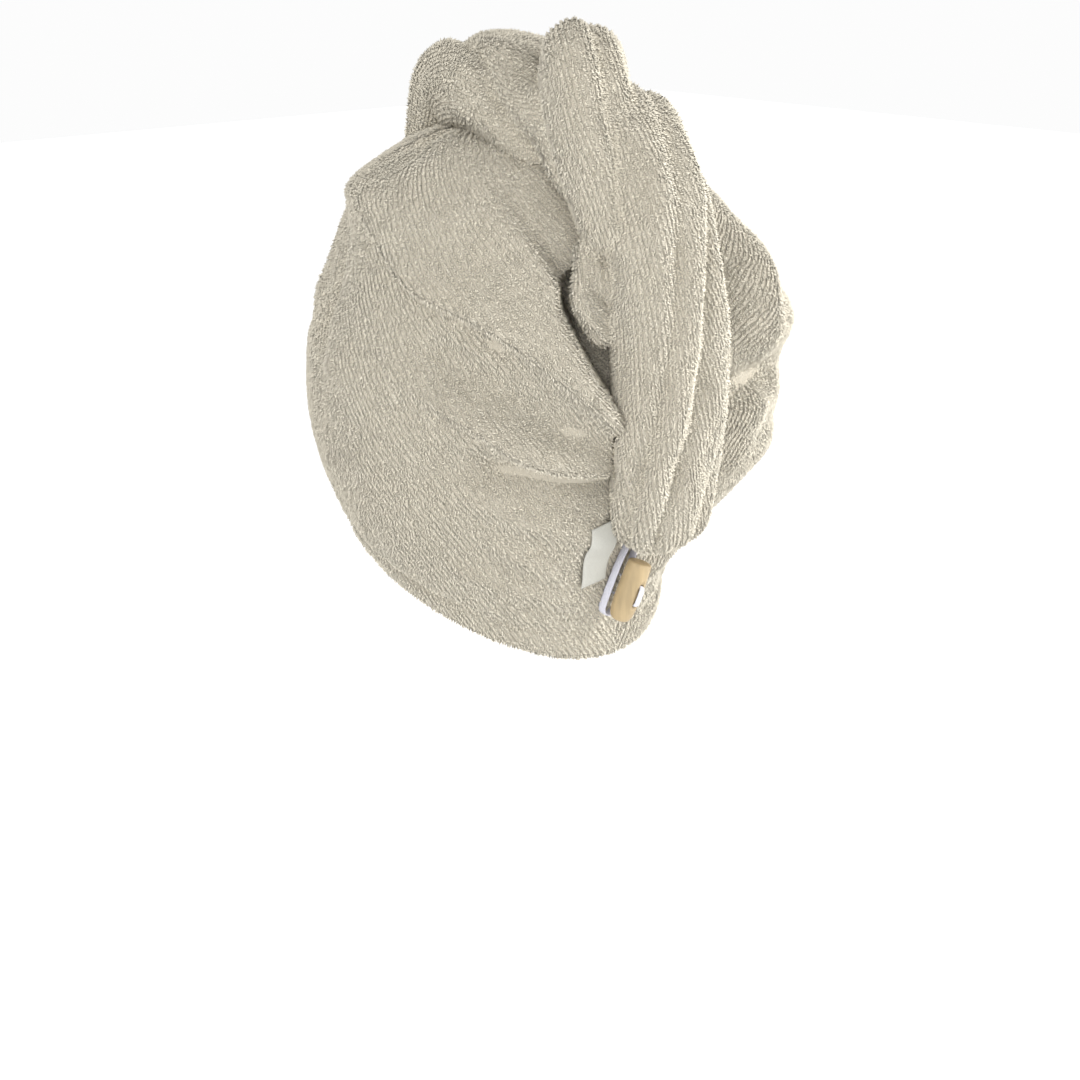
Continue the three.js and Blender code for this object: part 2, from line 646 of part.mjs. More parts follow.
const cream = new THREE.Color(0.66, 0.6, 0.48);
const finish = (color, roughness) => new THREE.MeshStandardMaterial({ color, roughness, metalness: 0 });

function piece(name, geometry, material) {
  const flat = geometry.toNonIndexed();
  flat.computeVertexNormals();
  const mesh = new THREE.Mesh(flat, material);
  mesh.name = name;
  return mesh;
}

const plug = hoodPlug(clearance);
let tail = rollSolid('top', 20, 20);
tail = tail.add(rollSolid('leftWrap', 14, 12)).add(rollSolid('rightWrap', 14, 12));
tail = tail.add(rollSolid('knot', 7, 10)).add(rollSolid('fall', 22, 20));
tail = tail.subtract(plug).subtract(labelSolid(clearance)).subtract(loopSolid(clearance));
const loop = loopSolid(0).subtract(plug);
const label = labelSolid(0).subtract(plug).subtract(loopSolid(clearance));

const turban = new THREE.Group();
turban.name = 'hair_turban_towel';
turban.add(
  piece('hood', hoodGeometry(), finish(cream, 0.95)),
  piece('twisted_tail', fromSolid(tail), finish(cream.clone().offsetHSL(0, 0, 0.02), 0.95)),
  piece('wooden_toggle', fromSolid(toggleSolid()), finish(new THREE.Color(0.72, 0.5, 0.26), 0.5)),
  piece('toggle_thread', fromSolid(threadSolid(plug)), finish(new THREE.Color(0.9, 0.9, 0.92), 0.7)),
  piece('elastic_loop', fromSolid(loop), finish(new THREE.Color(0.88, 0.88, 0.92), 0.7)),
  piece('side_label', fromSolid(label), finish(new THREE.Color(0.8, 0.79, 0.75), 0.8)),
);

export default turban;
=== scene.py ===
import bpy
import math
import numpy as np
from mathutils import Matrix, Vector, noise
from mathutils.bvhtree import BVHTree


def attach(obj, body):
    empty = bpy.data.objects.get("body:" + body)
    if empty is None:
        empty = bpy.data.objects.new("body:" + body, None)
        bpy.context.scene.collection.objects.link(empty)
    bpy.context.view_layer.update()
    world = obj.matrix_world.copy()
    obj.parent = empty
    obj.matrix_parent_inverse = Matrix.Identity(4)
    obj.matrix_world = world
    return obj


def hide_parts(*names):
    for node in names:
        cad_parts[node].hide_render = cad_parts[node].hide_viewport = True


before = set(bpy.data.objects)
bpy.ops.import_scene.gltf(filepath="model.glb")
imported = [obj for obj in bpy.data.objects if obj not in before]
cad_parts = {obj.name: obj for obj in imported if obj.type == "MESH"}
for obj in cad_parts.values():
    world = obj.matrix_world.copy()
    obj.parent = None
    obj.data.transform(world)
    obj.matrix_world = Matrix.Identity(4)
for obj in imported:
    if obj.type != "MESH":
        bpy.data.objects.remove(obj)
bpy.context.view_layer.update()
scene = bpy.context.scene
perMillimetre = 0.001


# camera, light, floor

view = {
    "azimuth": 138.0,          # degrees from the face side toward the wearer's left
    "elevation": 19.6,
    "distance": 0.955,
    "target": (-0.0053, 0.0203, 0.013),
    "lens": 60.0,
    "sensor": 36.0,
    "nearest": 0.02,           # distance from which the camera sees
}
studio = {
    "backdrop": 0.975,         # brightness that the camera sees behind the floor
    "overhead": 0.76,          # brightness of the room straight above
    "level": 1.24,             # brightness of the room at eye level
    "aim": (0.0, 0.0, 0.1),    # place that the lights point at
    "floorGlow": 0.2,
    "floorHeight": -0.36,
    "floorSize": 9.0,
}

# azimuth, elevation, distance, size and power of each light
lights = {
    "keyLight": (112.0, 30.0, 1.5, 0.7, 8.0),
    "fillLight": (222.0, 16.0, 1.6, 1.2, 22.0),
    "topLight": (150.0, 82.0, 1.4, 1.0, 0.4),
}


def viewDirection(azimuth, elevation):
    a, e = math.radians(azimuth), math.radians(elevation)
    return Vector((math.sin(a) * math.cos(e), -math.cos(a) * math.cos(e), math.sin(e)))


def addNode(tree, kind, values=None, **settings):
    # a node with its settings, then the values of its sockets
    node = tree.nodes.new(kind)
    for name, value in settings.items():
        setattr(node, name, value)
    for socket, value in (values or {}).items():
        node.inputs[socket].default_value = value
    return node


def aimed(obj, place, target):
    obj.location = place
    obj.rotation_euler = (Vector(target) - Vector(place)).to_track_quat("-Z", "Y").to_euler()
    scene.collection.objects.link(obj)


cameraData = bpy.data.cameras.new("camera")
cameraData.lens = view["lens"]
cameraData.sensor_width = view["sensor"]
cameraData.clip_start = view["nearest"]
camera = bpy.data.objects.new("camera", cameraData)
target = Vector(view["target"])
aimed(camera, target + viewDirection(view["azimuth"], view["elevation"]) * view["distance"], target)
scene.camera = camera

world = bpy.data.worlds.new("studio")
world.use_nodes = True
worldTree, join = world.node_tree, world.node_tree.links.new
white = (1.0, 1.0, 1.0, 1.0)
room = worldTree.nodes["Background"]
room.inputs["Color"].default_value = white
behind = addNode(worldTree, "ShaderNodeBackground", {"Color": white, "Strength": studio["backdrop"]})
heading, parts = (addNode(worldTree, "ShaderNode" + kind) for kind in ("TexCoord", "SeparateXYZ"))
height = addNode(worldTree, "ShaderNodeMapRange", {"To Min": studio["level"], "To Max": studio["overhead"]})
join(heading.outputs["Generated"], parts.inputs["Vector"])
join(parts.outputs["Z"], height.inputs["Value"])
join(height.outputs["Result"], room.inputs["Strength"])
path, either = (addNode(worldTree, "ShaderNode" + kind) for kind in ("LightPath", "MixShader"))
join(path.outputs["Is Camera Ray"], either.inputs["Fac"])
join(room.outputs[0], either.inputs[1])
join(behind.outputs[0], either.inputs[2])
join(either.outputs[0], worldTree.nodes["World Output"].inputs["Surface"])
scene.world = world
scene.view_settings.view_transform = "Standard"


def softLight(name, azimuth, elevation, distance, size, power):
    data = bpy.data.lights.new(name, "AREA")
    data.size = size
    data.energy = power
    light = bpy.data.objects.new(name, data)
    middle = Vector(studio["aim"])
    aimed(light, middle + viewDirection(azimuth, elevation) * distance, middle)


for name, settings in lights.items():
    softLight(name, *settings)


# shared mesh helpers

def meshObject(name, points, faces, smooth=True):
    mesh = bpy.data.meshes.new(name)
    mesh.from_pydata([tuple(p) for p in np.asarray(points) * perMillimetre], [], faces)
    mesh.update()
    if smooth:
        mesh.shade_smooth()
    else:
        mesh.shade_flat()
    obj = bpy.data.objects.new(name, mesh)
    scene.collection.objects.link(obj)
    return obj


def ringFaces(count, start, following):
    around = np.arange(count)
    after = (around + 1) % count
    return [(start + a, following + a, following + b, start + b) for a, b in zip(around, after)]


def fanFaces(count, tip, start, outward):
    around = np.arange(count)
    after = (around + 1) % count
    if outward:
        return [(tip, start + a, start + b) for a, b in zip(around, after)]
    return [(tip, start + b, start + a) for a, b in zip(around, after)]


def closedSkin(name, firstTip, rings, lastTip):
    # rings run from the first tip to the last one, each with as many points
    count = len(rings[0])
    points = [firstTip] + [p for ring in rings for p in ring] + [lastTip]
    faces = fanFaces(count, 0, 1, True)
    for i in range(len(rings) - 1):
        faces += ringFaces(count, 1 + i * count, 1 + (i + 1) * count)
    faces += fanFaces(count, len(points) - 1, 1 + (len(rings) - 1) * count, False)
    return meshObject(name, points, faces)


def applied(obj):
    # the evaluated mesh in place of the modifiers
    graph = bpy.context.evaluated_depsgraph_get()
    mesh = bpy.data.meshes.new_from_object(obj.evaluated_get(graph))
    old = obj.data
    obj.modifiers.clear()
    obj.data = mesh
    bpy.data.meshes.remove(old)
    return obj


def joined(obj, other, operation):
    cut = obj.modifiers.new("join", "BOOLEAN")
    cut.operation = operation
    cut.solver = "MANIFOLD"
    cut.object = other
    applied(obj)
    bpy.data.objects.remove(other)
    return obj


def surfaceTree(obj):
    mesh = obj.data
    return BVHTree.FromPolygons([v.co for v in mesh.vertices], [p.vertices[:] for p in mesh.polygons])


def unit(vectors):
    return vectors / np.maximum(np.linalg.norm(vectors, axis=-1, keepdims=True), 1e-9)


noiseShift = (17.3, 5.1, 9.7)  # what each seed moves the noise by


def ripple(points, size, seed):
    # smooth noise from -1 to 1 whose lumps are about size millimetres wide
    shift = Vector([seed * step for step in noiseShift])
    flat = np.asarray(points).reshape(-1, 3) / size
    values = [noise.noise(Vector(p) + shift) for p in flat]
    return np.array(values).reshape(np.asarray(points).shape[:-1])


def smoothstep(x, low, high):
    f = np.clip((x - low) / (high - low), 0, 1)
    return f * f * (3 - 2 * f)


def bell(x):
    return np.exp(-x * x)


def along(values, t):
    # smooth value through one column of a table, t from 0 at the first row to 1 at the last
    values = np.asarray(values, float)
    last = len(values) - 1
    place = np.clip(t, 0, 1) * last
    row = np.minimum(np.floor(place).astype(int), last - 1)
    f = place - row
    a, b, c, d = (values[np.clip(row + step, 0, last)] for step in (-1, 0, 1, 2))
    square = (2 * a - 5 * b + 4 * c - d) * f * f
    cube = (3 * b - a - 3 * c + d) * f ** 3
    return 0.5 * (2 * b + (c - a) * f + square + cube)


# form of the hood

hood = {
    "openingLength": 161.0,
    "openingWidth": 147.0,
    "height": 232.0,
    "openingRise": 57.0,
    "earArch": 9.0,
    "thickness": 3.0,
    "hemThickness": 5.5,
    "hemDepth": 10.0,
    "seamDepth": 1.8,
    "swellReach": 41.0,
    "foldHeight": 9.0,
    "foldReach": 16.0,
    "foldSteps": 5,            # steps of a fold's path between two of its points
    "foldStart": 0.3,          # share of the path over which a fold rises
    "foldTrace": 0.2,          # share of its height that is left at either end
    "poleShare": 0.5,          # folds and swells fade nearer the pole than this
    "slopeFade": 1.3,          # how fast the opening's slope is lost on the way up
    "pileDepth": 1.3,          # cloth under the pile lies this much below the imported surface
    "columns": 350,
    "crowding": 0.03,          # how much closer the columns lie at the nape
    "spacing": 1.75,           # between two rows of the mesh
    "traceSteps": 600,         # steps in which its side is measured
    "liningRows": 40,
    "liningTop": 3,            # row below the crown where the lining closes
    "rimRows": 5,              # rows over which the direction of the rim is taken
}
rimHalfLength = hood["openingLength"] / 2 + hood["hemThickness"]
rimHalfWidth = hood["openingWidth"] / 2 + hood["hemThickness"]
openingSlope = hood["openingRise"] / (2 * rimHalfLength)
headMiddle = np.array([0.0, 0.0, 0.45 * hood["height"]])

# rise, then front, left, back and right as shares of the rim's half length or half width
hoodSections = np.array([
    (0, 1.02, 1.02, 0.98, 1.02),
    (0.09, 1.12, 1.12, 0.98, 1.11),
    (0.19, 1.21, 1.21, 1.0, 1.23),
    (0.3, 1.27, 1.26, 1.06, 1.36),
    (0.44, 1.26, 1.25, 1.12, 1.42),
    (0.54, 1.17, 1.17, 1.11, 1.4),
    (0.64, 1.07, 1.07, 1.06, 1.3),
    (0.75, 0.98, 0.98, 1.0, 1.14),
    (0.83, 0.93, 0.94, 0.92, 0.99),
    (0.885, 0.82, 0.83, 0.82, 0.85),
    (0.935, 0.65, 0.69, 0.68, 0.67),
    (0.975, 0.42, 0.48, 0.44, 0.43),
    (0.995, 0.15, 0.17, 0.17, 0.17),
    (1, 0, 0, 0, 0),
])

# azimuth, rise, spread in degrees, tall, reach as a share of swellReach
swells = [
    (234, 0.64, 36, 0.26, 1),
    (226, 0.33, 34, 0.13, 0.62),
    (229, 0.605, 14, 0.06, 0.2),
    (163, 0.34, 22, 0.2, 0.12),
    (232, 0.86, 16, 0.07, 0.2),
]

# azimuths and rises of the crest, height, reach above and below it, share of the path
# over which it fades out at the far end
hoodFolds = [
    ([68, 90, 109, 134, 150, 162, 169, 176], [0.85, 0.775, 0.706, 0.652, 0.585, 0.522, 0.478, 0.43],
     1.35, 1.2, 0.28, 0.3),
    ([106, 120, 137, 154, 174], [0.61, 0.575, 0.534, 0.476, 0.4], -1.0, 0.45, 0.9, 0.15),
    ([136, 151, 155, 159, 164, 172], [0.87, 0.756, 0.676, 0.616, 0.556, 0.47], 1.3, 0.3, 0.7, 0.2),
    ([157, 162, 167, 174], [0.74, 0.69, 0.6, 0.5], -2.0, 0.8, 0.5, 0.3),
    ([104, 130, 143, 152, 176], [0.52, 0.467, 0.422, 0.404, 0.385], 1.1, 1.1, 0.25, 0.15),
    ([126, 138, 152, 176], [0.4, 0.379, 0.37, 0.365], -0.75, 0.25, 0.7, 0.15),
    ([130, 138, 150, 166], [0.236, 0.216, 0.18, 0.15], 0.45, 0.4, 0.3, 0.3),
    ([118, 128, 146, 172], [0.14, 0.132, 0.123, 0.106], 0.4, 0.35, 0.25, 0.3),
    ([124, 140, 158, 174], [0.31, 0.29, 0.262, 0.24], 0.45, 0.5, 0.35, 0.2),
    ([50, 53, 57, 59, 68], [0.76, 0.7, 0.61, 0.526, 0.44], -0.9, 0.5, 0.5, 0.3),
    ([40, 55, 74, 92], [0.845, 0.868, 0.872, 0.84], 0.7, 0.75, 0.8, 0.3),
    ([64, 74, 86], [0.975, 0.962, 0.93], -1.2, 0.6, 0.6, 0.3),
    ([218, 214, 211, 209, 207], [0.84, 0.78, 0.71, 0.64, 0.56], -1.5, 0.8, 0.8, 0.25),
    ([240, 228, 219, 214], [0.8, 0.716, 0.642, 0.54], 0.9, 0.7, 0.45, 0.25),
    ([203, 211, 219, 232], [0.505, 0.509, 0.506, 0.48], -1.1, 0.45, 0.4, 0.3),
    ([221, 214, 208, 202], [0.48, 0.44, 0.385, 0.33], 0.5, 0.6, 0.45, 0.25),
    ([286, 262, 244, 230], [0.86, 0.7, 0.52, 0.38], 0.8, 1.1, 0.4, 0.3),
    ([292, 276, 258, 246], [0.62, 0.5, 0.38, 0.3], -0.6, 0.6, 0.8, 0.3),
    ([320, 300, 284], [0.86, 0.72, 0.56], -0.7, 0.6, 0.6, 0.3),
    ([236, 218, 204, 190], [0.27, 0.2, 0.155, 0.13], 0.5, 0.5, 0.35, 0.2),
    ([-24, -38, -52], [0.87, 0.68, 0.48], 0.8, 0.7, 0.5, 0.3),
    ([-12, -18, -24], [0.86, 0.66, 0.44], -0.7, 0.5, 0.5, 0.3),
    ([-2, -4, -6], [0.85, 0.66, 0.46], 0.8, 0.5, 0.5, 0.3),
    ([10, 15, 20], [0.86, 0.68, 0.5], -0.7, 0.5, 0.5, 0.3),
    ([22, 34, 46], [0.87, 0.7, 0.5], 0.75, 0.5, 0.6, 0.3),
]
girthPerDegree = math.pi * (rimHalfLength + rimHalfWidth) / 360


def levelOf(rise):
    # place in the table of sections at which the hood has this rise
    low, high = 0.0, 1.0
    for _ in range(30):
        middle = (low + high) / 2
        if along(hoodSections[:, 0], middle) < rise:
            low = middle
        else:
            high = middle
    return (low + high) / 2


def foldLift(azimuth, rise):
    # height that all the folds add at places on the unrolled hood
    x, y = azimuth * girthPerDegree, rise * hood["height"]
    lift = np.zeros_like(x)
    lap = 360 * girthPerDegree
    trace = hood["foldTrace"]
    for azimuths, rises, height, above, below, ending in hoodFolds:
        steps = hood["foldSteps"] * (len(azimuths) - 1)
        t = np.arange(steps + 1) / steps
        px, py = along(azimuths, t) * girthPerDegree, along(rises, t) * hood["height"]
        local = (x - px.mean() + lap / 2) % lap + px.mean() - lap / 2
        nearest = np.full_like(x, np.inf)
        side, share = np.ones_like(x), np.zeros_like(x)
        for i in range(steps):
            dx, dy = px[i + 1] - px[i], py[i + 1] - py[i]
            f = np.clip(((local - px[i]) * dx + (y - py[i]) * dy) / (dx * dx + dy * dy), 0, 1)
            gap = np.hypot(local - px[i] - f * dx, y - py[i] - f * dy)
            closer = gap < nearest
            turn = np.sign(dx * (y - py[i]) - dy * (local - px[i])) * np.sign(dx)
            nearest = np.where(closer, gap, nearest)
            side = np.where(closer, turn, side)
            share = np.where(closer, (i + f) / steps, share)
        reach = hood["foldReach"] * np.where(side >= 0, above, below)
        fade = smoothstep(share, 0, hood["foldStart"]) * (1 - trace) + trace
        fade = fade * (trace + (1 - trace) * smoothstep(1 - share, 0, ending))
        lift += hood["foldHeight"] * height * fade * bell(nearest / reach)
    return lift


def hoodPoint(azimuth, level):
    azimuth, level = np.broadcast_arrays(np.asarray(azimuth, float), np.asarray(level, float))
    turn = np.radians(azimuth)
    toLeft, toBack = np.sin(turn), -np.cos(turn)
    rise, front, left, back, right = (along(column, level) for column in hoodSections.T)
    side = np.maximum(np.where(toLeft > 0, left, right) * rimHalfWidth, 1e-6)
    end = np.maximum(np.where(toBack > 0, back, front) * rimHalfLength, 1e-6)
    reach = 1 / np.hypot(toLeft / side, toBack / end)
    nearPole = np.minimum(1, reach / (hood["poleShare"] * rimHalfLength))
    for middle, height, spread, tall, share in swells:
        away = (azimuth - middle + 180) % 360 - 180
        strength = bell(away / spread) * bell((rise - height) / tall)
        reach = reach + hood["swellReach"] * share * strength * nearPole
    drop = rise * hood["height"]
    fromHem = smoothstep(drop, 0.5 * hood["hemDepth"], 2 * hood["hemDepth"])
    reach = reach + foldLift(azimuth, rise) * nearPole * fromHem
    reach = reach - hood["seamDepth"] * bell((drop - hood["hemDepth"]) / (0.25 * hood["hemDepth"]))
    fallOff = np.maximum(1 - rise, 0) ** hood["slopeFade"]
    arch = hood["earArch"] * toLeft ** 2 * (1 - rise) ** 2
    z = drop - openingSlope * fallOff * reach * toBack + arch
    return np.stack([reach * toLeft, reach * toBack, z], axis=-1)


# even rows from the crown down to the rim
fineLevels = np.linspace(1, 0, hood["traceSteps"])
profile = hoodPoint(100.0, fineLevels)
fineLengths = np.concatenate([[0], np.cumsum(np.linalg.norm(np.diff(profile, axis=0), axis=1))])
rowCount = int(fineLengths[-1] / hood["spacing"])
rowLevels = np.interp(np.linspace(0, fineLengths[-1], rowCount), fineLengths, fineLevels)
columnShares = np.arange(hood["columns"]) / hood["columns"]
columnAzimuths = 360 * (columnShares + hood["crowding"] * np.sin(2 * math.pi * columnShares))


def gridNormals(grid):
    around = np.roll(grid, -1, axis=1) - np.roll(grid, 1, axis=1)
    upward = -np.gradient(grid, axis=0)
    normals = unit(np.cross(around, upward))
    normals[0] = (0, 0, 1)
    return normals


print("hood: shaping", rowCount, "rows of", hood["columns"])
hoodGrid = hoodPoint(columnAzimuths[None, :], rowLevels[:, None])
hoodNormals = gridNormals(hoodGrid)
hoodRise = along(hoodSections[:, 0], rowLevels)[:, None] * np.ones(hood["columns"])

# small folds: soft dents, a fan of fine creases toward the nape and puckers at the hem
wrinkles = {
    "fanHeight": 0.75,
    "fanRise": 0.42,           # where the creases of the fan meet
    "fanCreases": 17,
    "fanWander": 2.2,
    "fanWanderSize": 45,
    "fanDistance": 62,         # from the place where they meet to their strongest part
    "fanSpread": 34,
    "dentHeight": 0.6,
    "dentSize": 30,
    "smallDents": 0.6,         # share of the height of the large ones
    "smallDentSize": 14,
    "puckerHeight": 1.1,
    "puckerDegrees": 7,        # width of a pucker at the hem
    "puckersUp": 6,
}
azimuthGrid = np.broadcast_to(columnAzimuths[None, :], hoodRise.shape)
napeAcross = (azimuthGrid - 180) * girthPerDegree
napeUp = (hoodRise - wrinkles["fanRise"]) * hood["height"]
fanBend = wrinkles["fanWander"] * ripple(hoodGrid, wrinkles["fanWanderSize"], 1)
fan = np.sin(np.arctan2(napeUp, napeAcross) * wrinkles["fanCreases"] + fanBend)
fan *= bell((np.hypot(napeAcross, napeUp) - wrinkles["fanDistance"]) / wrinkles["fanSpread"])
fan *= smoothstep(hoodRise, 0.1, 0.3) * (1 - smoothstep(hoodRise, 0.72, 0.85))
dents = ripple(hoodGrid, wrinkles["dentSize"], 2)
dents += wrinkles["smallDents"] * ripple(hoodGrid, wrinkles["smallDentSize"], 3)
unrolled = [azimuthGrid / wrinkles["puckerDegrees"], hoodRise * wrinkles["puckersUp"], azimuthGrid * 0]
pucker = wrinkles["puckerHeight"] * ripple(np.stack(unrolled, axis=-1), 1, 4)
nearHem = smoothstep(hoodRise, 0.02, 0.06) * (1 - smoothstep(hoodRise, 0.1, 0.22))
calm = smoothstep(1 - hoodRise, 0.0, 0.08)
move = (wrinkles["fanHeight"] * fan + wrinkles["dentHeight"] * dents + pucker * nearHem) * calm
hoodGrid = hoodGrid + hoodNormals * (move - hood["pileDepth"])[..., None]
hoodNormals = gridNormals(hoodGrid)


def rimFrame():
    # the rim's outer points, their directions outward and down, and the radius of the edge
    outer, normal = hoodGrid[-1], hoodNormals[-1]
    down = unit(outer - hoodGrid[-1 - hood["rimRows"]])
    return outer, normal, down, (hood["hemThickness"] - hood["pileDepth"]) / 2


def rimRings():
    # rounded edge of the turned hem
    outer, normal, down, radius = rimFrame()
    rings = []
    for angle in np.radians([30, 60, 90, 120, 150]):
        inward = normal * (radius * math.cos(angle) - radius)
        rings.append(outer + inward + down * radius * math.sin(angle))
    return rings


def makeHoodCloth():
    # the outer surface, the rim and the lining in one closed skin
    outer = list(hoodGrid[1:])
    depth = hood["thickness"] - hood["pileDepth"]
    hemDepth = hood["hemThickness"] - hood["pileDepth"]
    inner = []
    for i in np.linspace(rowCount - 1, hood["liningTop"], hood["liningRows"]).astype(int):
        fromRim = (rowCount - 1 - i) * hood["spacing"]
        turned = 1 - smoothstep(fromRim, hood["hemDepth"], 1.5 * hood["hemDepth"])
        thick = depth + (hemDepth - depth) * turned
        inner.append(hoodGrid[i] - hoodNormals[i] * thick)
    rings = outer + rimRings() + inner
    top = np.array([0, 0, hood["height"]])
    crown = [top - [0, 0, depth] for depth in (hood["pileDepth"], hood["thickness"])]
    return closedSkin("hoodCloth", crown[0], rings, crown[1])


hoodCloth = makeHoodCloth()
hoodTree = surfaceTree(hoodCloth)
print("hood: cloth has", len(hoodCloth.data.polygons), "faces")


# form of the twisted tail

tail = {
    "width": 70.0,
    "thickness": 44.0,
    "creaseDepth": 8.0,
    "fullness": 2.3,
    "twistRidges": 1.1,        # height of the fine ridges of the twisted cloth
    "ridgeWander": 1.6,
    "headingStep": 0.02,       # share of a roll over which its direction is taken
    "tipShare": 0.1,           # share of a roll over which either end rounds off
    "pileShare": 0.8,          # share of the pile's depth by which the cloth lies deeper
    "plugStep": 3,             # rows and columns of the hood in one step of the cutting plug
    "plugGap": 0.1,
    "meshSize": 1.35,
    "softening": 4,
}

# side, back, rise, across and deep, from the root to the end of each roll
tailRolls = {
    "top": [
        (0, -0.8, 0.8, 0.5, 0.3), (0, -0.64, 0.91, 0.54, 0.62), (0, -0.42, 1.035, 0.68, 1.18),
        (0, -0.18, 1.065, 0.94, 1.2), (0, 0.1, 1.06, 1.1, 1.2), (0, 0.38, 1.01, 1.04, 1.04),
        (-0.04, 0.66, 0.97, 1.0, 1.26), (-0.08, 0.92, 0.87, 0.85, 1.1), (-0.1, 1.04, 0.74, 0.6, 0.8),
    ],
    "leftWrap": [
        (-0.34, 0.2, 0.98, 0.34, 0.6), (-0.05, 0.5, 1.11, 0.38, 0.78), (0.2, 0.74, 1.13, 0.38, 0.8),
        (0.28, 0.9, 1.01, 0.36, 0.74), (0.27, 1.01, 0.9, 0.34, 0.76), (0.22, 1.11, 0.77, 0.28, 0.6),
    ],
    "rightWrap": [
        (-0.5, 0.3, 0.95, 0.42, 0.7), (-0.25, 0.5, 1.08, 0.44, 0.76), (0.03, 0.74, 1.13, 0.42, 0.74),
        (0.12, 0.92, 1.03, 0.42, 0.74), (0.15, 1.02, 0.92, 0.4, 0.76), (0.14, 1.12, 0.78, 0.3, 0.6),
    ],
    "knot": [
        (0.27, 0.95, 0.79, 0.22, 0.36), (0.32, 1.045, 0.735, 0.27, 0.32), (0.34, 1.065, 0.685, 0.3, 0.3),
        (0.32, 1.1, 0.65, 0.3, 0.26), (0.22, 1.13, 0.605, 0.3, 0.3),
    ],
    "fall": [
        (-0.14, 0.72, 1.03, 0.58, 0.84), (-0.07, 0.99, 0.98, 0.72, 1.0), (-0.05, 1.18, 0.85, 0.78, 1.12),
        (-0.07, 1.26, 0.7, 0.84, 1.06), (-0.13, 1.27, 0.5, 1.0, 1.04), (-0.14, 1.24, 0.34, 0.95, 0.94),
        (-0.13, 1.22, 0.22, 0.86, 0.86), (-0.13, 1.19, 0.13, 0.7, 0.72),
    ],
}

# roll, angles from the outer side toward the wearer's left along it, depth, spread in degrees
tailCreases = [
    ("top", [-70, 50, 160], 0.9, 13),
    ("top", [70, -10, -70], 0.5, 16),
    ("top", [10, -75, -115], 0.7, 15),
    ("fall", [-75, -4, 50], 1.15, 11),
    ("fall", [-20, 42, 98], 0.75, 11),
    ("fall", [-125, -62, -15], 0.9, 12),
    ("leftWrap", [60, 50, 40], 0.3, 20),
    ("knot", [70, 0, -60], 1.0, 20),
]

# steps along, sides, number of fine ridges round it, turns of the ridges from end to end
rollFineness = {
    "top": (150, 110, 9, 0.35),
    "leftWrap": (90, 60, 5, 0.2),
    "rightWrap": (90, 64, 5, 0.2),
    "knot": (40, 48, 5, 0.4),
    "fall": (130, 100, 9, 0.3),
}


def rollGrid(name):
    # points of one roll, one ring for each step, without its two tips
    steps, sides, ridges, turns = rollFineness[name]
    rows = np.array(tailRolls[name])
    scale = np.array([rimHalfWidth, rimHalfLength, hood["height"]])

    def middleAt(t):
        return np.stack([along(rows[:, c], t) for c in range(3)], axis=-1) * scale

    t = np.arange(1, steps) / steps
    middle = middleAt(t)
    ahead, behind = np.minimum(t + tail["headingStep"], 1), np.maximum(t - tail["headingStep"], 0)
    heading = unit(middleAt(ahead) - middleAt(behind))
    outward = middle - headMiddle
    outward = unit(outward - heading * np.sum(outward * heading, axis=1, keepdims=True))
    across = np.cross(heading, outward)
    ending = 1 - np.minimum(1, np.minimum(t, 1 - t) / tail["tipShare"])
    rounded = np.sqrt(1 - ending ** 2)
    halfWidth = along(rows[:, 3], t) * tail["width"] * rounded / 2
    halfDepth = along(rows[:, 4], t) * tail["thickness"] * rounded / 2
    angle = -np.arange(sides) / sides * 2 * math.pi
    shrink = np.zeros((len(t), sides))
    for roll, places, depth, spread in tailCreases:
        if roll == name:
            place = np.radians(along(places, t))[:, None]
            away = np.arctan2(np.sin(angle - place), np.cos(angle - place))
            shrink += depth * bell(away / math.radians(spread)) * rounded[:, None]
    size = 1 - shrink * tail["creaseDepth"] * 2 / tail["width"]
    power = 2 / tail["fullness"]
    out = np.sign(np.cos(angle)) * np.abs(np.cos(angle)) ** power
    left = np.sign(np.sin(angle)) * np.abs(np.sin(angle)) ** power
    grid = middle[:, None] + outward[:, None] * (halfDepth[:, None] * out * size)[..., None]
    grid = grid + across[:, None] * (halfWidth[:, None] * left * size)[..., None]
    spokes = unit(grid - middle[:, None])
    wander = tail["ridgeWander"] * ripple(grid, 40, 11)
    ridge = np.sin(ridges * (angle[None, :] + turns * 2 * math.pi * t[:, None]) + wander)
    ridge = (ridge * (0.6 + 0.4 * ripple(grid, 25, 12)) + 0.6 * ripple(grid, 16, 13)) * rounded[:, None]
    outward = tail["twistRidges"] * ridge - hood["pileDepth"] * tail["pileShare"]
    grid = grid + spokes * outward[..., None]
    return grid, middleAt(np.array([0.0, 1.0]))


def hoodPlug(offset):
    # inside of the hood's outer surface, closed straight across below
    some = slice(None, None, tail["plugStep"])
    grid = hoodGrid[some, some] + hoodNormals[some, some] * offset
    top = np.array([0, 0, hood["height"] - hood["pileDepth"] + offset])
    return closedSkin("plug", top, list(grid[1:]), grid[-1].mean(axis=0))


def makeTailCloth():
    # all the rolls in one, softened where they meet and cut away along the hood
    cloth = None
    for name, (grid, tips) in rollGrids.items():
        roll = closedSkin(name, tips[0], list(grid), tips[1])
        cloth = joined(cloth, roll, "UNION") if cloth else roll
    cloth.name = "tailCloth"
    remesh = cloth.modifiers.new("remesh", "REMESH")
    remesh.mode = "VOXEL"
    remesh.voxel_size = tail["meshSize"] * perMillimetre
    soften = cloth.modifiers.new("soften", "SMOOTH")
    soften.factor = 0.5
    soften.iterations = tail["softening"]
    applied(cloth)
    joined(cloth, hoodPlug(tail["plugGap"]), "DIFFERENCE")
    cloth.data.shade_smooth()
    return cloth


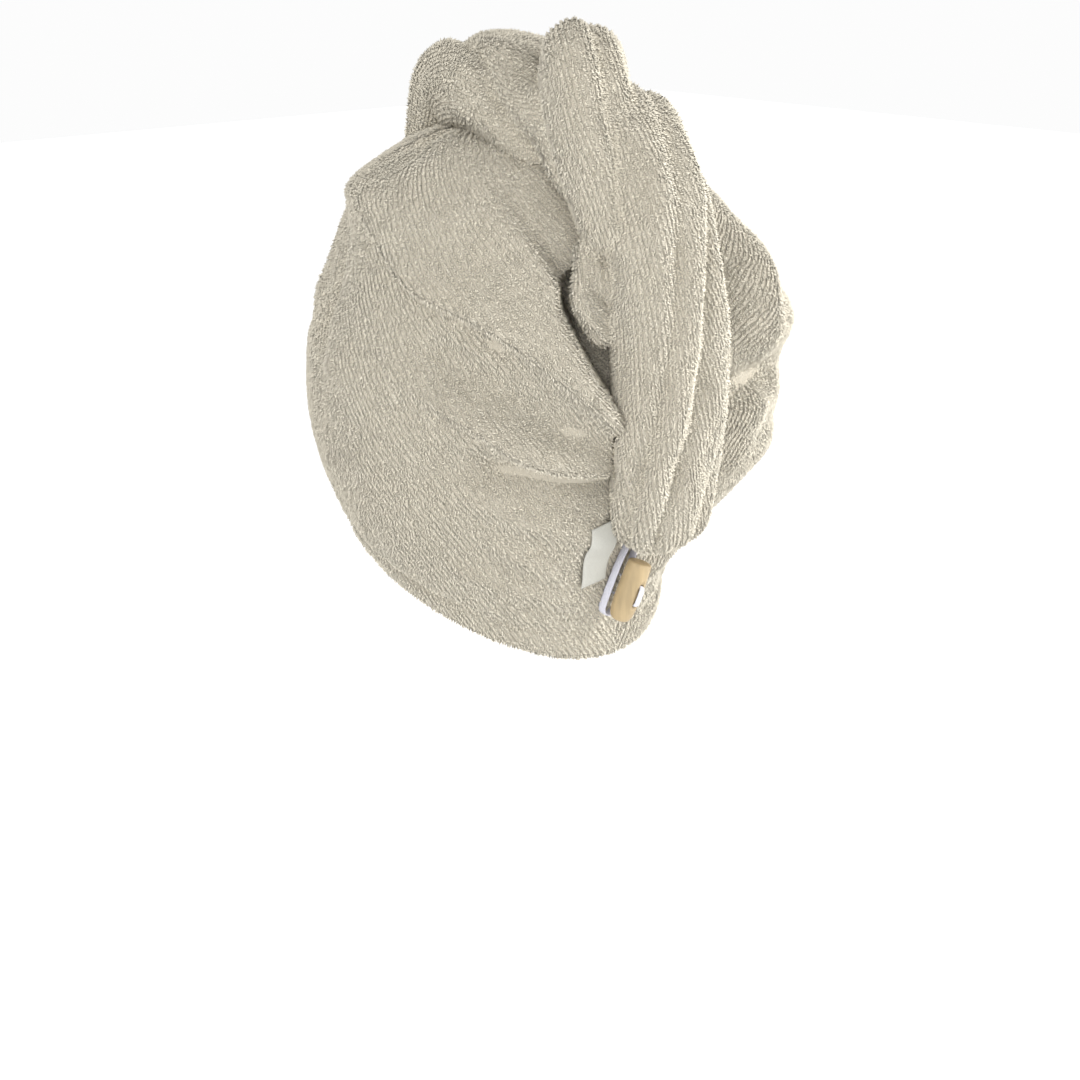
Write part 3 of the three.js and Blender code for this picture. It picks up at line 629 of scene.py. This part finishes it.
rollGrids = {name: rollGrid(name) for name in tailRolls}
tailCloth = makeTailCloth()
tailTree = surfaceTree(tailCloth)
print("tail: cloth has", len(tailCloth.data.polygons), "faces")


# toggle, thread, loop, label

fastening = {
    "toggleSeat": (177.0, 0.147, 18.0),    # azimuth, rise, lean toward the wearer's right
    "loopSeat": (177.0, 0.15, 17.0),
    "labelSeat": (167.6, 0.224, 2.0),
    "toggleLength": 32.0,
    "toggleDiameter": 13.0,
    "toggleSides": 64,
    "capStep": 0.05,           # keeps the middle of the flat end off its first ring
    "holeDiameter": 3.0,
    "holeSpacing": 10.0,
    "shank": 5.0,
    "drillOver": 12.0,         # how far the drill stands out of the toggle
    "strands": 5,
    "strand": 1.15,
    "strandPitch": 0.62,
    "strandLift": 0.35,        # every second strand lies this much higher
    "threadGap": 0.15,
    "threadSteps": 70,
    "loopWidth": 4.2,
    "loopThickness": 1.0,
    "loopSpan": 9.5,
    "loopLength": 38.0,
    "loopGap": 0.4,
    "loopLean": 0.175,         # how far the band tips to one side and the other along its way
    "loopSteps": 180,
    "braidHeight": 0.072,
    "edgeThinning": 0.55,
    "labelWidth": 14.5,
    "labelHeight": 31.0,
    "labelThickness": 0.9,
    "labelGap": 0.5,
    "labelSkew": 0.3,
    "labelWave": 0.25,
    "seatStep": 0.03,          # step in which the hood's slope is taken below a piece
}

# place along the toggle from its flat end to the rounded one, width there, both as shares
toggleProfile = [
    (1.0, 0.5), (1.0, 0.8), (0.985, 0.87), (0.95, 0.92), (0.85, 0.95), (0.6, 0.98), (0.3, 0.995), (0, 1),
    (-0.3, 0.995), (-0.5, 0.975), (-0.66, 0.94), (-0.8, 0.86), (-0.89, 0.75), (-0.95, 0.6), (-0.98, 0.42),
    (-0.995, 0.2),
]


def packedNormal(azimuth, level, step):
    # direction square to the hood as it is packed, without its small folds
    low, high = np.maximum(level - step, 0), np.minimum(level + step, 1)
    around = hoodPoint(azimuth + 1.5, level) - hoodPoint(azimuth - 1.5, level)
    return unit(np.cross(around, hoodPoint(azimuth, high) - hoodPoint(azimuth, low)))


def seatOn(seat):
    # place on the hood with its own directions, for a piece that lies there
    azimuth, rise, lean = seat
    level = levelOf(rise)
    normal = packedNormal(azimuth, level, fastening["seatStep"])
    left = unit(np.cross(normal, [0, 0, 1]))
    upward = np.cross(left, normal)
    turn = math.radians(lean)
    return {
        "origin": hoodPoint(azimuth, level),
        "normal": normal,
        "up": upward * math.cos(turn) - left * math.sin(turn),
        "across": left * math.cos(turn) + upward * math.sin(turn),
    }


def onSeat(seat, side, up, out):
    return seat["origin"] + seat["across"] * side + seat["up"] * up + seat["normal"] * out


def tube(name, points, radii, sides, axis):
    # round skin along a path; axis lies across the path and starts each ring
    points = np.asarray(points, float)
    heading = unit(np.gradient(points, axis=0))
    u = unit(np.asarray(axis) - heading * np.sum(heading * np.asarray(axis), axis=1, keepdims=True))
    v = np.cross(heading, u)
    angle = -np.arange(sides) / sides * 2 * math.pi
    rings = [p + r * (np.cos(angle)[:, None] * a + np.sin(angle)[:, None] * b)
             for p, r, a, b in zip(points, radii, u, v)]
    return closedSkin(name, points[0], rings, points[-1])


toggleSeat = seatOn(fastening["toggleSeat"])
toggleHeight = fastening["shank"] + fastening["toggleDiameter"] / 2


def makeToggle():
    # turned barrel with a flat end above and a rounded one below
    radius, half = fastening["toggleDiameter"] / 2, fastening["toggleLength"] / 2
    points = [onSeat(toggleSeat, 0, share * half, toggleHeight) for share, _ in toggleProfile]
    points[0] = points[0] + toggleSeat["up"] * fastening["capStep"]
    radii = [width * radius for _, width in toggleProfile]
    body = tube("togglePiece", points, radii, fastening["toggleSides"], toggleSeat["normal"])
    for share in (-0.5, 0.5):
        up = share * fastening["holeSpacing"]
        outs = (0, toggleHeight, toggleHeight + fastening["drillOver"])
        ends = [onSeat(toggleSeat, 0, up, out) for out in outs]
        drill = tube("drill", ends, [fastening["holeDiameter"] / 2] * len(outs), 32, toggleSeat["up"])
        joined(body, drill, "DIFFERENCE")
    return body


togglePiece = makeToggle()


def makeThread():
    # strands side by side, through one hole, over to the other and down to the cloth
    low = fastening["holeSpacing"] / 2
    top = toggleHeight + fastening["toggleDiameter"] / 2 + fastening["threadGap"]
    strands = []
    t = np.linspace(0, 1, fastening["threadSteps"])
    for k in range(fastening["strands"]):
        side = (k - fastening["strands"] // 2) * fastening["strandPitch"]
        lift = fastening["strandLift"] * (k % 2)
        rise = top + lift + fastening["strand"] / 2
        spread = side * 0.9
        gather = side * 0.42
        way = [(-low, gather, -1.0), (-low, gather, 4.0), (-low, gather, rise - 2.2),
               (-low + 0.15, gather, rise - 0.9), (-low + 0.7, spread * 0.8, rise - 0.15),
               (-low * 0.5, spread, rise + 0.15)]
        back = [(-up, across, out) for up, across, out in reversed(way)]
        route = way + [(0, spread, rise + 0.2)] + back
        ups, sides, outs = (along(column, t) for column in np.array(route).T)
        points = [onSeat(toggleSeat, s, u, o) for u, s, o in zip(ups, sides, outs)]
        twist = 0.9 + 0.1 * np.sin(np.arange(len(t)) * 1.9 + k)
        strands.append(tube("strand", points, twist * fastening["strand"] / 2, 12, toggleSeat["across"]))
    first = strands[0]
    for other in strands[1:]:
        joined(first, other, "UNION")
    first.name = "toggleThread"
    return first


threadPiece = makeThread()


def makeLoop():
    # flat braid on edge, from under the tail round the thread and back
    seat = seatOn(fastening["loopSeat"])
    bend = fastening["loopSpan"] / 2
    straight = fastening["loopLength"] - bend
    leg = [(-bend * 0.7, straight * 0.62), (-bend * 0.93, straight * 0.3), (-bend, 0)]
    turn = [(-bend * math.cos(a), -straight * 0.38 - bend * math.sin(a)) for a in np.linspace(0, math.pi, 9)]
    route = leg + turn + [(-side, up) for side, up in reversed(leg)]
    t = np.linspace(0, 1, fastening["loopSteps"])
    sides, ups = (along(column, t) for column in np.array(route).T)
    slope = unit(np.stack([np.gradient(sides), np.gradient(ups)], axis=1))
    rings = []
    across = 10
    outs = np.concatenate([np.linspace(0, 1, across), np.linspace(1, 0, across)])
    for i in range(len(t)):
        lean = fastening["loopLean"] * math.sin(t[i] * 2 * math.pi)
        ring = []
        for j, share in enumerate(outs):
            face = -1 if j < across else 1
            braid = fastening["braidHeight"] * math.sin(i * 0.9 + face * abs(share - 0.5) * 12)
            thin = 1 - fastening["edgeThinning"] * abs(2 * share - 1) ** 4
            half = fastening["loopThickness"] / 2 * thin + braid
            out = fastening["loopGap"] + fastening["loopWidth"] * share
            move = face * half + lean * (share - 0.5) * fastening["loopWidth"]
            ring.append(onSeat(seat, sides[i] + slope[i, 1] * move, ups[i] - slope[i, 0] * move, out))
        rings.append(np.array(ring))
    return closedSkin("loopBand", rings[0].mean(axis=0), rings, rings[-1].mean(axis=0))


loopBand = makeLoop()


def makeLabel():
    # blank tape folded double, laid on the hood's curve, its outer fold standing up a little
    azimuth, rise, lean = fastening["labelSeat"]
    origin = hoodPoint(azimuth, levelOf(rise))
    perMm = math.degrees(1 / math.hypot(origin[0], origin[1]))
    turn = math.radians(lean)
    columns, rows = 26, 44
    across, down = np.meshgrid(np.linspace(0, 1, columns), np.linspace(0, 1, rows))
    side = (across - 0.5) * fastening["labelWidth"]
    up = (0.5 - down) * fastening["labelHeight"]
    left = side * math.cos(turn) - up * math.sin(turn)
    climb = up * math.cos(turn) + side * (math.sin(turn) - fastening["labelSkew"])
    fineRises = along(hoodSections[:, 0], fineLevels)
    level = np.interp(rise + climb / hood["height"], fineRises[::-1], fineLevels[::-1])
    base = hoodPoint(azimuth - left * perMm, level)
    normal = packedNormal(azimuth - left * perMm, level, fastening["seatStep"])
    edge = np.maximum(np.abs(2 * across - 1), np.abs(2 * down - 1))
    curl = (1 - across) ** 2 + fastening["labelWave"] * np.sin(down * 7 + across * 2.6)
    low = fastening["labelGap"] + curl
    high = low + fastening["labelThickness"] * (1 - 0.6 * edge ** 10)
    sheets = [base + normal * out[..., None] for out in (low, high)]
    rings = [np.concatenate([below, above[::-1]]) for below, above in zip(*sheets)]
    return closedSkin("labelTape", rings[0].mean(axis=0), rings, rings[-1].mean(axis=0))


labelTape = makeLabel()
labelTree, loopTree = surfaceTree(labelTape), surfaceTree(loopBand)
print("fastening: toggle, thread, loop and label made")


# pile

pile = {
    "rowPitch": 3.7,           # between two rows of tufts on the hood
    "step": 1.0,               # along a row
    "length": 2.1,
    "width": 0.62,
    "spread": 0.42,            # how unevenly the tufts point
    "shortest": 0.7,           # shares of the length
    "longest": 1.15,
    "tuftSides": 3,
    "rowLean": 40.0,           # degrees that the rows run toward the nape as they go down
    "outward": 0.7,
    "forward": 0.45,
    "sideways": 0.45,
    "laneShare": 0.2,          # share of the pitch from a row to each of its two lanes
    "stray": 0.3,
    "swirl": 0.5,              # how far the rows' direction wanders, and over what size
    "swirlSize": 16,
    "fineSwirl": 0.3,
    "fineSwirlSize": 5,
    "tailPitch": 3.1,
    "tailTurns": 0.6,          # turns of the rows for each turn of the tail's ridges
    "tailSnap": 2.8,           # roots farther than this from the joined tail are left out
    "tailRoom": 0.4,           # how far the hood's tufts stay from the tail
    "hoodRoom": 0.2,           # how far the tail's tufts stay from the hood
    "roomReach": 1.2,
    "labelRoom": 1.5,
    "loopRoom": 0.9,
    "firstRow": 4,             # row of the hood's mesh below its crown
    "rimOut": 0.6,             # how the fringe of the rim leans
    "rimDown": 0.5,
    "rimStray": 0.2,
    "softness": 0.9,           # share of the cloth's own normal in the shading of a tuft
    "seed": 7,
    "heaviest": 180000,        # triangles in one piece of pile
}


def tuftTree(name, material):
    # small cones on the points of a mesh, along the direction stored there
    tree = bpy.data.node_groups.new(name, "GeometryNodeTree")
    face, link = tree.interface, tree.links.new
    sockets = {}
    for label, kind in (("Geometry", "Geometry"), ("Tuft length", "Float"), ("Tuft width", "Float"),
                        ("Spread", "Float"), ("Shortest", "Float"), ("Seed", "Int")):
        sockets[label] = face.new_socket(label, in_out="INPUT", socket_type="NodeSocket" + kind)
    face.new_socket("Geometry", in_out="OUTPUT", socket_type="NodeSocketGeometry")
    given = addNode(tree, "NodeGroupInput").outputs
    cone = addNode(tree, "GeometryNodeMeshCone", {"Vertices": pile["tuftSides"], "Radius Top": 0.0},
                   fill_type="NGON")
    link(given["Tuft width"], cone.inputs["Radius Bottom"])
    link(given["Tuft length"], cone.inputs["Depth"])
    lay = addNode(tree, "GeometryNodeInputNamedAttribute", {"Name": "lay"}, data_type="FLOAT_VECTOR")
    stray = addNode(tree, "FunctionNodeRandomValue", {"Min": (-1, -1, -1), "Max": (1, 1, 1)},
                    data_type="FLOAT_VECTOR")
    spin = addNode(tree, "FunctionNodeRandomValue", {"Max": 2 * math.pi}, data_type="FLOAT")
    size = addNode(tree, "FunctionNodeRandomValue", {"Max": pile["longest"]}, data_type="FLOAT")
    link(given["Shortest"], size.inputs["Min"])
    for chance in (stray, spin, size):
        link(given["Seed"], chance.inputs["Seed"])
    scaled = addNode(tree, "ShaderNodeVectorMath", operation="SCALE")
    link(stray.outputs["Value"], scaled.inputs[0])
    link(given["Spread"], scaled.inputs["Scale"])
    aim = addNode(tree, "ShaderNodeVectorMath", operation="ADD")
    link(lay.outputs["Attribute"], aim.inputs[0])
    link(scaled.outputs["Vector"], aim.inputs[1])
    turn = addNode(tree, "FunctionNodeAlignRotationToVector", axis="Z")
    link(aim.outputs["Vector"], turn.inputs["Vector"])
    around = addNode(tree, "FunctionNodeAxisAngleToRotation")
    link(spin.outputs["Value"], around.inputs["Angle"])
    whole = addNode(tree, "FunctionNodeRotateRotation", rotation_space="LOCAL")
    link(turn.outputs["Rotation"], whole.inputs["Rotation"])
    link(around.outputs["Rotation"], whole.inputs["Rotate By"])
    put = addNode(tree, "GeometryNodeInstanceOnPoints")
    link(given["Geometry"], put.inputs["Points"])
    link(cone.outputs["Mesh"], put.inputs["Instance"])
    link(whole.outputs["Rotation"], put.inputs["Rotation"])
    link(size.outputs["Value"], put.inputs["Scale"])
    real, soft = (addNode(tree, "GeometryNode" + kind) for kind in ("RealizeInstances", "SetShadeSmooth"))
    coat = addNode(tree, "GeometryNodeSetMaterial", {"Material": material})
    chain = (put, real, soft, coat, addNode(tree, "NodeGroupOutput"))
    for before, after in zip(chain[:-1], chain[1:]):
        link(before.outputs[0], after.inputs[0])
    return tree, sockets


def grow(name, roots, lays, grounds, tree, sockets, settings):
    # one piece of pile from its roots in millimetres and their directions
    mesh = bpy.data.meshes.new(name)
    mesh.from_pydata([tuple(p) for p in roots * perMillimetre], [], [])
    for label, vectors in (("lay", lays), ("ground", grounds)):
        kept = mesh.attributes.new(label, "FLOAT_VECTOR", "POINT")
        kept.data.foreach_set("vector", vectors.astype(np.float32).ravel())
    obj = bpy.data.objects.new(name, mesh)
    scene.collection.objects.link(obj)
    nodes = obj.modifiers.new("pile", "NODES")
    nodes.node_group = tree
    for label, value in settings.items():
        nodes[sockets[label].identifier] = value
    applied(obj)
    if "lay" in obj.data.attributes:
        obj.data.attributes.remove(obj.data.attributes["lay"])
    print("pile:", name, "has", len(roots), "tufts,", len(obj.data.polygons), "faces")
    return obj


def gridAt(grid, row, column):
    # value between the points of a grid whose columns close on themselves
    row = np.clip(row, 0, len(grid) - 1.001)
    i, j = np.floor(row).astype(int), np.floor(column).astype(int)
    f, g = (row - i)[:, None], (column - j)[:, None]
    j, k = j % grid.shape[1], (j + 1) % grid.shape[1]
    before = grid[i, j] * (1 - f) + grid[i + 1, j] * f
    after = grid[i, k] * (1 - f) + grid[i + 1, k] * f
    return before * (1 - g) + after * g


def tuftLays(roots, normals, forward, seed):
    # each root twice, once leaning to either side of its row
    side = np.cross(normals, forward)
    swirl = pile["swirl"] * ripple(roots, pile["swirlSize"], seed)[:, None]
    swirl += pile["fineSwirl"] * ripple(roots, pile["fineSwirlSize"], seed + 1)[:, None]
    run = unit(forward * np.cos(swirl) + side * np.sin(swirl))
    stray = np.random.default_rng(seed).normal(0, pile["stray"], (2, len(roots), 1))
    lays, places = [], []
    for lane, sign in enumerate((-1, 1)):
        lay = normals * pile["outward"] + run * pile["forward"] + side * sign * pile["sideways"]
        lays.append(unit(lay))
        places.append(roots + side * (sign * pile["rowPitch"] * pile["laneShare"] + stray[lane]))
    return np.concatenate(places), np.concatenate(lays), np.concatenate([normals, normals])


tracesPerPitch = 8

# every so many traces one is kept where the cloth is stretched more than this
traceChoice = ((32, 0.0), (16, 0.31), (8, 0.62), (4, 1.32), (2, 2.4), (1, 4.5))


def rowKeep(k, stretch):
    # rows are traced more densely than they stand: the wider the cloth, the more of them stay
    for share, least in traceChoice:
        if k % share == 0:
            return stretch > least


def evenSteps(grid, rows, column, step):
    # the places of a row respaced to even steps along the cloth, over folds too
    points = gridAt(grid, rows, column % grid.shape[1])
    travel = np.concatenate([[0], np.cumsum(np.linalg.norm(np.diff(points, axis=0), axis=1))])
    places = np.arange(0, travel[-1], step)
    return np.interp(places, travel, rows), np.interp(places, travel, column)


def stretchOf(grid, pitchColumns, pitch, row, column):
    # distance between two rows as a share of their pitch
    ahead, behind = (gridAt(grid, row, (column + move) % grid.shape[1]) for move in (0.5, -0.5))
    step = ahead - behind
    return np.linalg.norm(step, axis=1) * pitchColumns / pitch


def hoodRows():
    # rows that run down from the crown and lean toward the nape, on the left and on the right
    perRow = math.degrees(pile["rowPitch"] / rimHalfLength)
    azimuthColumns = np.append(columnAzimuths, columnAzimuths[0] + 360)
    slant = math.degrees(math.tan(math.radians(pile["rowLean"])) / rimHalfLength)
    fineRows = np.arange(pile["firstRow"], rowCount - 0.5, 0.5)
    columnsPerRow = perRow * hood["columns"] / 360
    roots, normals, runs = [], [], []
    for left in (True, False):
        first = -tracesPerPitch * (int(slant * rowCount * hood["spacing"] / perRow) + 1)
        for k in range(first, int(tracesPerPitch * 180 / perRow) + 1):
            azimuth = np.clip(k * perRow / tracesPerPitch + slant * fineRows * hood["spacing"], -1, 181)
            turn = azimuth if left else 360 - azimuth
            column = np.interp(turn % 360, azimuthColumns, np.arange(len(azimuthColumns)))
            column = np.unwrap(column, period=hood["columns"])
            rows, column = evenSteps(hoodGrid, fineRows, column, pile["step"])
            azimuth = np.interp(rows, fineRows, azimuth)
            column = column % hood["columns"]
            stretch = stretchOf(hoodGrid, columnsPerRow, pile["rowPitch"], rows, column)
            keep = (azimuth > 0) & (azimuth < 180) & rowKeep(k, stretch)
            if keep.sum() < 3:
                continue
            points = gridAt(hoodGrid, rows, column)
            roots.append(points[keep])
            normals.append(unit(gridAt(hoodNormals, rows, column))[keep])
            runs.append(unit(np.gradient(points, axis=0))[keep])
    return np.concatenate(roots), np.concatenate(normals), np.concatenate(runs)


def outsideOf(tree, points, room, reach):
    # True where a point stands clear of a closed surface that is within reach
    keep = np.ones(len(points), bool)
    for i, p in enumerate(points * perMillimetre):
        place, normal = tree.find_nearest(p, reach * perMillimetre)[:2]
        if place is not None and (Vector(p) - place).dot(normal) < room * perMillimetre:
            keep[i] = False
    return keep


def awayFrom(tree, points, room):
    # True where a point is farther than this from a surface
    keep = np.ones(len(points), bool)
    for i, p in enumerate(points * perMillimetre):
        if tree.find_nearest(p, room * perMillimetre)[0] is not None:
            keep[i] = False
    return keep


def rimTufts():
    # fringe round the edge of the hem
    outer, normal, down, radius = rimFrame()
    roots, lays, grounds = [], [], []
    rng = np.random.default_rng(pile["seed"])
    for angle in np.radians([10, 45, 80, 115, 150]):
        direction = normal * math.cos(angle) + down * math.sin(angle)
        place = outer - normal * radius + direction * radius
        stray = rng.normal(0, pile["rimStray"], place.shape)
        roots.append(place)
        grounds.append(direction)
        lays.append(unit(direction * pile["rimOut"] + down * pile["rimDown"] + stray))
    return np.concatenate(roots), np.concatenate(lays), np.concatenate(grounds)


def tailRows():
    # rows along each roll, brought onto the joined tail
    roots, runs = [], []
    for name, (grid, _) in rollGrids.items():
        girth = np.linalg.norm(np.diff(grid, axis=1), axis=2).sum(axis=1).max()
        count = int(girth / pile["tailPitch"])
        fineRows = np.arange(0, len(grid) - 1, 0.5)
        turns = rollFineness[name][3] * pile["tailTurns"]
        for k in range(tracesPerPitch * count):
            column = (k / tracesPerPitch / count + turns * fineRows / len(grid)) * grid.shape[1]
            rows, column = evenSteps(grid, fineRows, column, pile["step"])
            column = column % grid.shape[1]
            points = gridAt(grid, rows, column)
            keep = rowKeep(k, stretchOf(grid, grid.shape[1] / count, pile["tailPitch"], rows, column))
            roots.append(points[keep])
            runs.append(unit(np.gradient(points, axis=0))[keep])
    roots, runs = np.concatenate(roots), np.concatenate(runs)
    places, normals, keep = np.zeros_like(roots), np.zeros_like(roots), np.zeros(len(roots), bool)
    for i, p in enumerate(roots * perMillimetre):
        place, normal = tailTree.find_nearest(p, pile["tailSnap"] * perMillimetre)[:2]
        if place is not None:
            places[i], normals[i], keep[i] = np.array(place) / perMillimetre, normal, True
    places, normals, runs = places[keep], normals[keep], runs[keep]
    runs = unit(runs - normals * np.sum(runs * normals, axis=1, keepdims=True))
    return places, normals, runs


# sizes of the noise are given as Blender's noise scale on object coordinates
towelling = {
    "broadScale": 28.0,
    "fineScale": 420.0,
    "fineShare": 0.45,
    "fuzzScale": 900.0,
    "fuzzStrength": 0.6,
    "shine": 0.05,
    # the bare cloth is painted darker and warmer than the pile: painted shade that stands for the shadow the
    # tufts cast between and under them
    "clothLight": (0.51, 0.472, 0.39),
    "clothDark": (0.48, 0.44, 0.36),
    "clothBump": 0.0006,
    "pileLight": (0.88, 0.82, 0.685),
    "pileDark": (0.855, 0.79, 0.65),
    "pileBump": 0.0003,
}


def shadeRamp(tree, dark, light, low, high):
    ramp = addNode(tree, "ShaderNodeValToRGB")
    for element, place, color in zip(ramp.color_ramp.elements, (low, high), (dark, light)):
        element.position = place
        element.color = (*color, 1)
    return ramp


def cream(name, light, dark, bumpSize, ground):
    # soft cream cloth: uneven colour, matt, with a fuzz of bump; tufts take most of their
    # shading from the cloth that they stand on
    material = bpy.data.materials.new(name)
    material.use_nodes = True
    tree, link = material.node_tree, material.node_tree.links.new
    shader = tree.nodes["Principled BSDF"].inputs
    shader["Roughness"].default_value = 1.0
    shader["Specular IOR Level"].default_value = towelling["shine"]
    place = addNode(tree, "ShaderNodeTexCoord")
    broad, fine, fuzz = (addNode(tree, "ShaderNodeTexNoise", {"Scale": towelling[size], "Detail": detail})
                         for size, detail in (("broadScale", 3.0), ("fineScale", 2.0), ("fuzzScale", 3.0)))
    for texture in (broad, fine, fuzz):
        link(place.outputs["Object"], texture.inputs["Vector"])
    both = addNode(tree, "ShaderNodeMix", {"Factor": towelling["fineShare"]}, data_type="FLOAT")
    link(broad.outputs["Fac"], both.inputs["A"])
    link(fine.outputs["Fac"], both.inputs["B"])
    ramp = shadeRamp(tree, dark, light, 0.36, 0.66)
    link(both.outputs["Result"], ramp.inputs["Fac"])
    link(ramp.outputs["Color"], shader["Base Color"])
    bump = addNode(tree, "ShaderNodeBump", {"Strength": towelling["fuzzStrength"], "Distance": bumpSize})
    link(fuzz.outputs["Fac"], bump.inputs["Height"])
    if not ground:
        link(bump.outputs["Normal"], shader["Normal"])
        return material
    below = addNode(tree, "ShaderNodeAttribute", attribute_name="ground")
    blend = addNode(tree, "ShaderNodeMix", {"Factor": ground}, data_type="VECTOR")
    link(bump.outputs["Normal"], blend.inputs[4])
    link(below.outputs["Vector"], blend.inputs[5])
    link(blend.outputs[1], shader["Normal"])
    return material


shadeDarkenedClothColors, pileColors = ([towelling[kind + shade] for shade in ("Light", "Dark")]
                           for kind in ("cloth", "pile"))
# hood and tail cloth under the pile take the darker colours, painted shade between the tufts
shadeDarkenedCloth = cream("shadeDarkenedCloth", *shadeDarkenedClothColors, towelling["clothBump"], 0)
creamPile = cream("creamPile", *pileColors, towelling["pileBump"], pile["softness"])
hoodCloth.data.materials.append(shadeDarkenedCloth)
tailCloth.data.materials.clear()
tailCloth.data.materials.append(shadeDarkenedCloth)

pileTree, pileSockets = tuftTree("pileTufts", creamPile)
pileSettings = {
    "Tuft length": pile["length"] * perMillimetre,
    "Tuft width": pile["width"] * perMillimetre,
    "Spread": pile["spread"],
    "Shortest": pile["shortest"],
    "Seed": pile["seed"],
}


def growParts(name, roots, lays, grounds):
    # the pile in several pieces side by side, so that none of them is too heavy
    azimuth = 180 - np.degrees(np.arctan2(roots[:, 0], roots[:, 1]))
    count = math.ceil(len(roots) * (pile["tuftSides"] + 1) / pile["heaviest"])
    edges = np.quantile(azimuth, np.linspace(0, 1, count + 1))
    part = np.searchsorted(edges[1:-1], azimuth)
    return [grow(name + str(k + 1), roots[part == k], lays[part == k], grounds[part == k],
                 pileTree, pileSockets, pileSettings) for k in range(count)]


roots, normals, runs = hoodRows()
clear = outsideOf(tailTree, roots, pile["tailRoom"], pile["roomReach"])
clear &= awayFrom(labelTree, roots, pile["labelRoom"]) & awayFrom(loopTree, roots, pile["loopRoom"])
tufts = zip(tuftLays(roots[clear], normals[clear], runs[clear], 21), rimTufts())
roots, lays, grounds = (np.concatenate(pair) for pair in tufts)
hoodPiles = growParts("hoodPile", roots, lays, grounds)
roots, normals, runs = tailRows()
clear = outsideOf(hoodTree, roots, pile["hoodRoom"], pile["roomReach"])
tailPiles = growParts("tailPile", *tuftLays(roots[clear], normals[clear], runs[clear], 31))


# finishes of the fastening

# colour, roughness, scale of the grain, its depth, its stretch and how much it varies
finishes = {
    "paleWood": ((0.43, 0.325, 0.18), 0.6, 240.0, 0.0002, (1, 1, 0.1), 0.2),
    "whiteThread": ((0.66, 0.66, 0.71), 0.8, 1800.0, 0.0002, (1, 1, 1), 0.06),
    "whiteElastic": ((0.6, 0.6, 0.67), 0.8, 1500.0, 0.0002, (1, 1, 1), 0.06),
    "labelTape": ((0.47, 0.465, 0.42), 0.7, 1600.0, 0.00008, (1, 1, 1), 0.06),
    "floorPaper": ((0.94, 0.94, 0.94), 0.9, 4.0, 0.0001, (1, 1, 1), 0.01),
}


def plainFinish(name):
    color, roughness, scale, depth, stretch, spread = finishes[name]
    material = bpy.data.materials.new(name)
    material.use_nodes = True
    tree, link = material.node_tree, material.node_tree.links.new
    shader = tree.nodes["Principled BSDF"].inputs
    shader["Roughness"].default_value = roughness
    place = addNode(tree, "ShaderNodeTexCoord")
    mapping = addNode(tree, "ShaderNodeMapping", {"Scale": stretch})
    grain = addNode(tree, "ShaderNodeTexNoise", {"Scale": scale, "Detail": 4.0})
    bump = addNode(tree, "ShaderNodeBump", {"Strength": 0.5, "Distance": depth})
    dark, light = ([min(1, c * share) for c in color] for share in (1 - spread, 1 + spread))
    ramp = shadeRamp(tree, dark, light, 0.3, 0.7)
    link(place.outputs["Object"], mapping.inputs["Vector"])
    link(mapping.outputs["Vector"], grain.inputs["Vector"])
    link(grain.outputs["Fac"], ramp.inputs["Fac"])
    link(ramp.outputs["Color"], shader["Base Color"])
    link(grain.outputs["Fac"], bump.inputs["Height"])
    link(bump.outputs["Normal"], shader["Normal"])
    return material


def finishWith(piece, material):
    piece.data.materials.clear()
    piece.data.materials.append(material)


finishWith(togglePiece, plainFinish("paleWood"))
finishWith(threadPiece, plainFinish("whiteThread"))
finishWith(loopBand, plainFinish("whiteElastic"))
finishWith(labelTape, plainFinish("labelTape"))


# what each piece stands for

dressed = [
    (hoodCloth, "hood", "towelling"), (tailCloth, "twisted_tail", "towelling_tail"),
    (togglePiece, "wooden_toggle", "toggle_wood"),
    (threadPiece, "toggle_thread", "sewing_thread"), (loopBand, "elastic_loop", "elastic"),
    (labelTape, "side_label", "label_tape"),
] + [(piece, "hood", "towelling") for piece in hoodPiles]
dressed += [(piece, "twisted_tail", "towelling_tail") for piece in tailPiles]
for piece, node, slot in dressed:
    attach(piece, "root")
    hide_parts(node)

floorHalf = studio["floorSize"] / 2 / perMillimetre
floorZ = studio["floorHeight"] / perMillimetre
corners = [(-floorHalf, -floorHalf, floorZ), (floorHalf, -floorHalf, floorZ),
           (floorHalf, floorHalf, floorZ), (-floorHalf, floorHalf, floorZ)]
floor = meshObject("floor", np.array(corners), [(0, 1, 2, 3)], smooth=False)
floorPaper = plainFinish("floorPaper")
floorShader = floorPaper.node_tree.nodes["Principled BSDF"]
floorShader.inputs["Emission Color"].default_value = (1, 1, 1, 1)
floorShader.inputs["Emission Strength"].default_value = studio["floorGlow"]
floor.data.materials.append(floorPaper)

print("scene: finished")
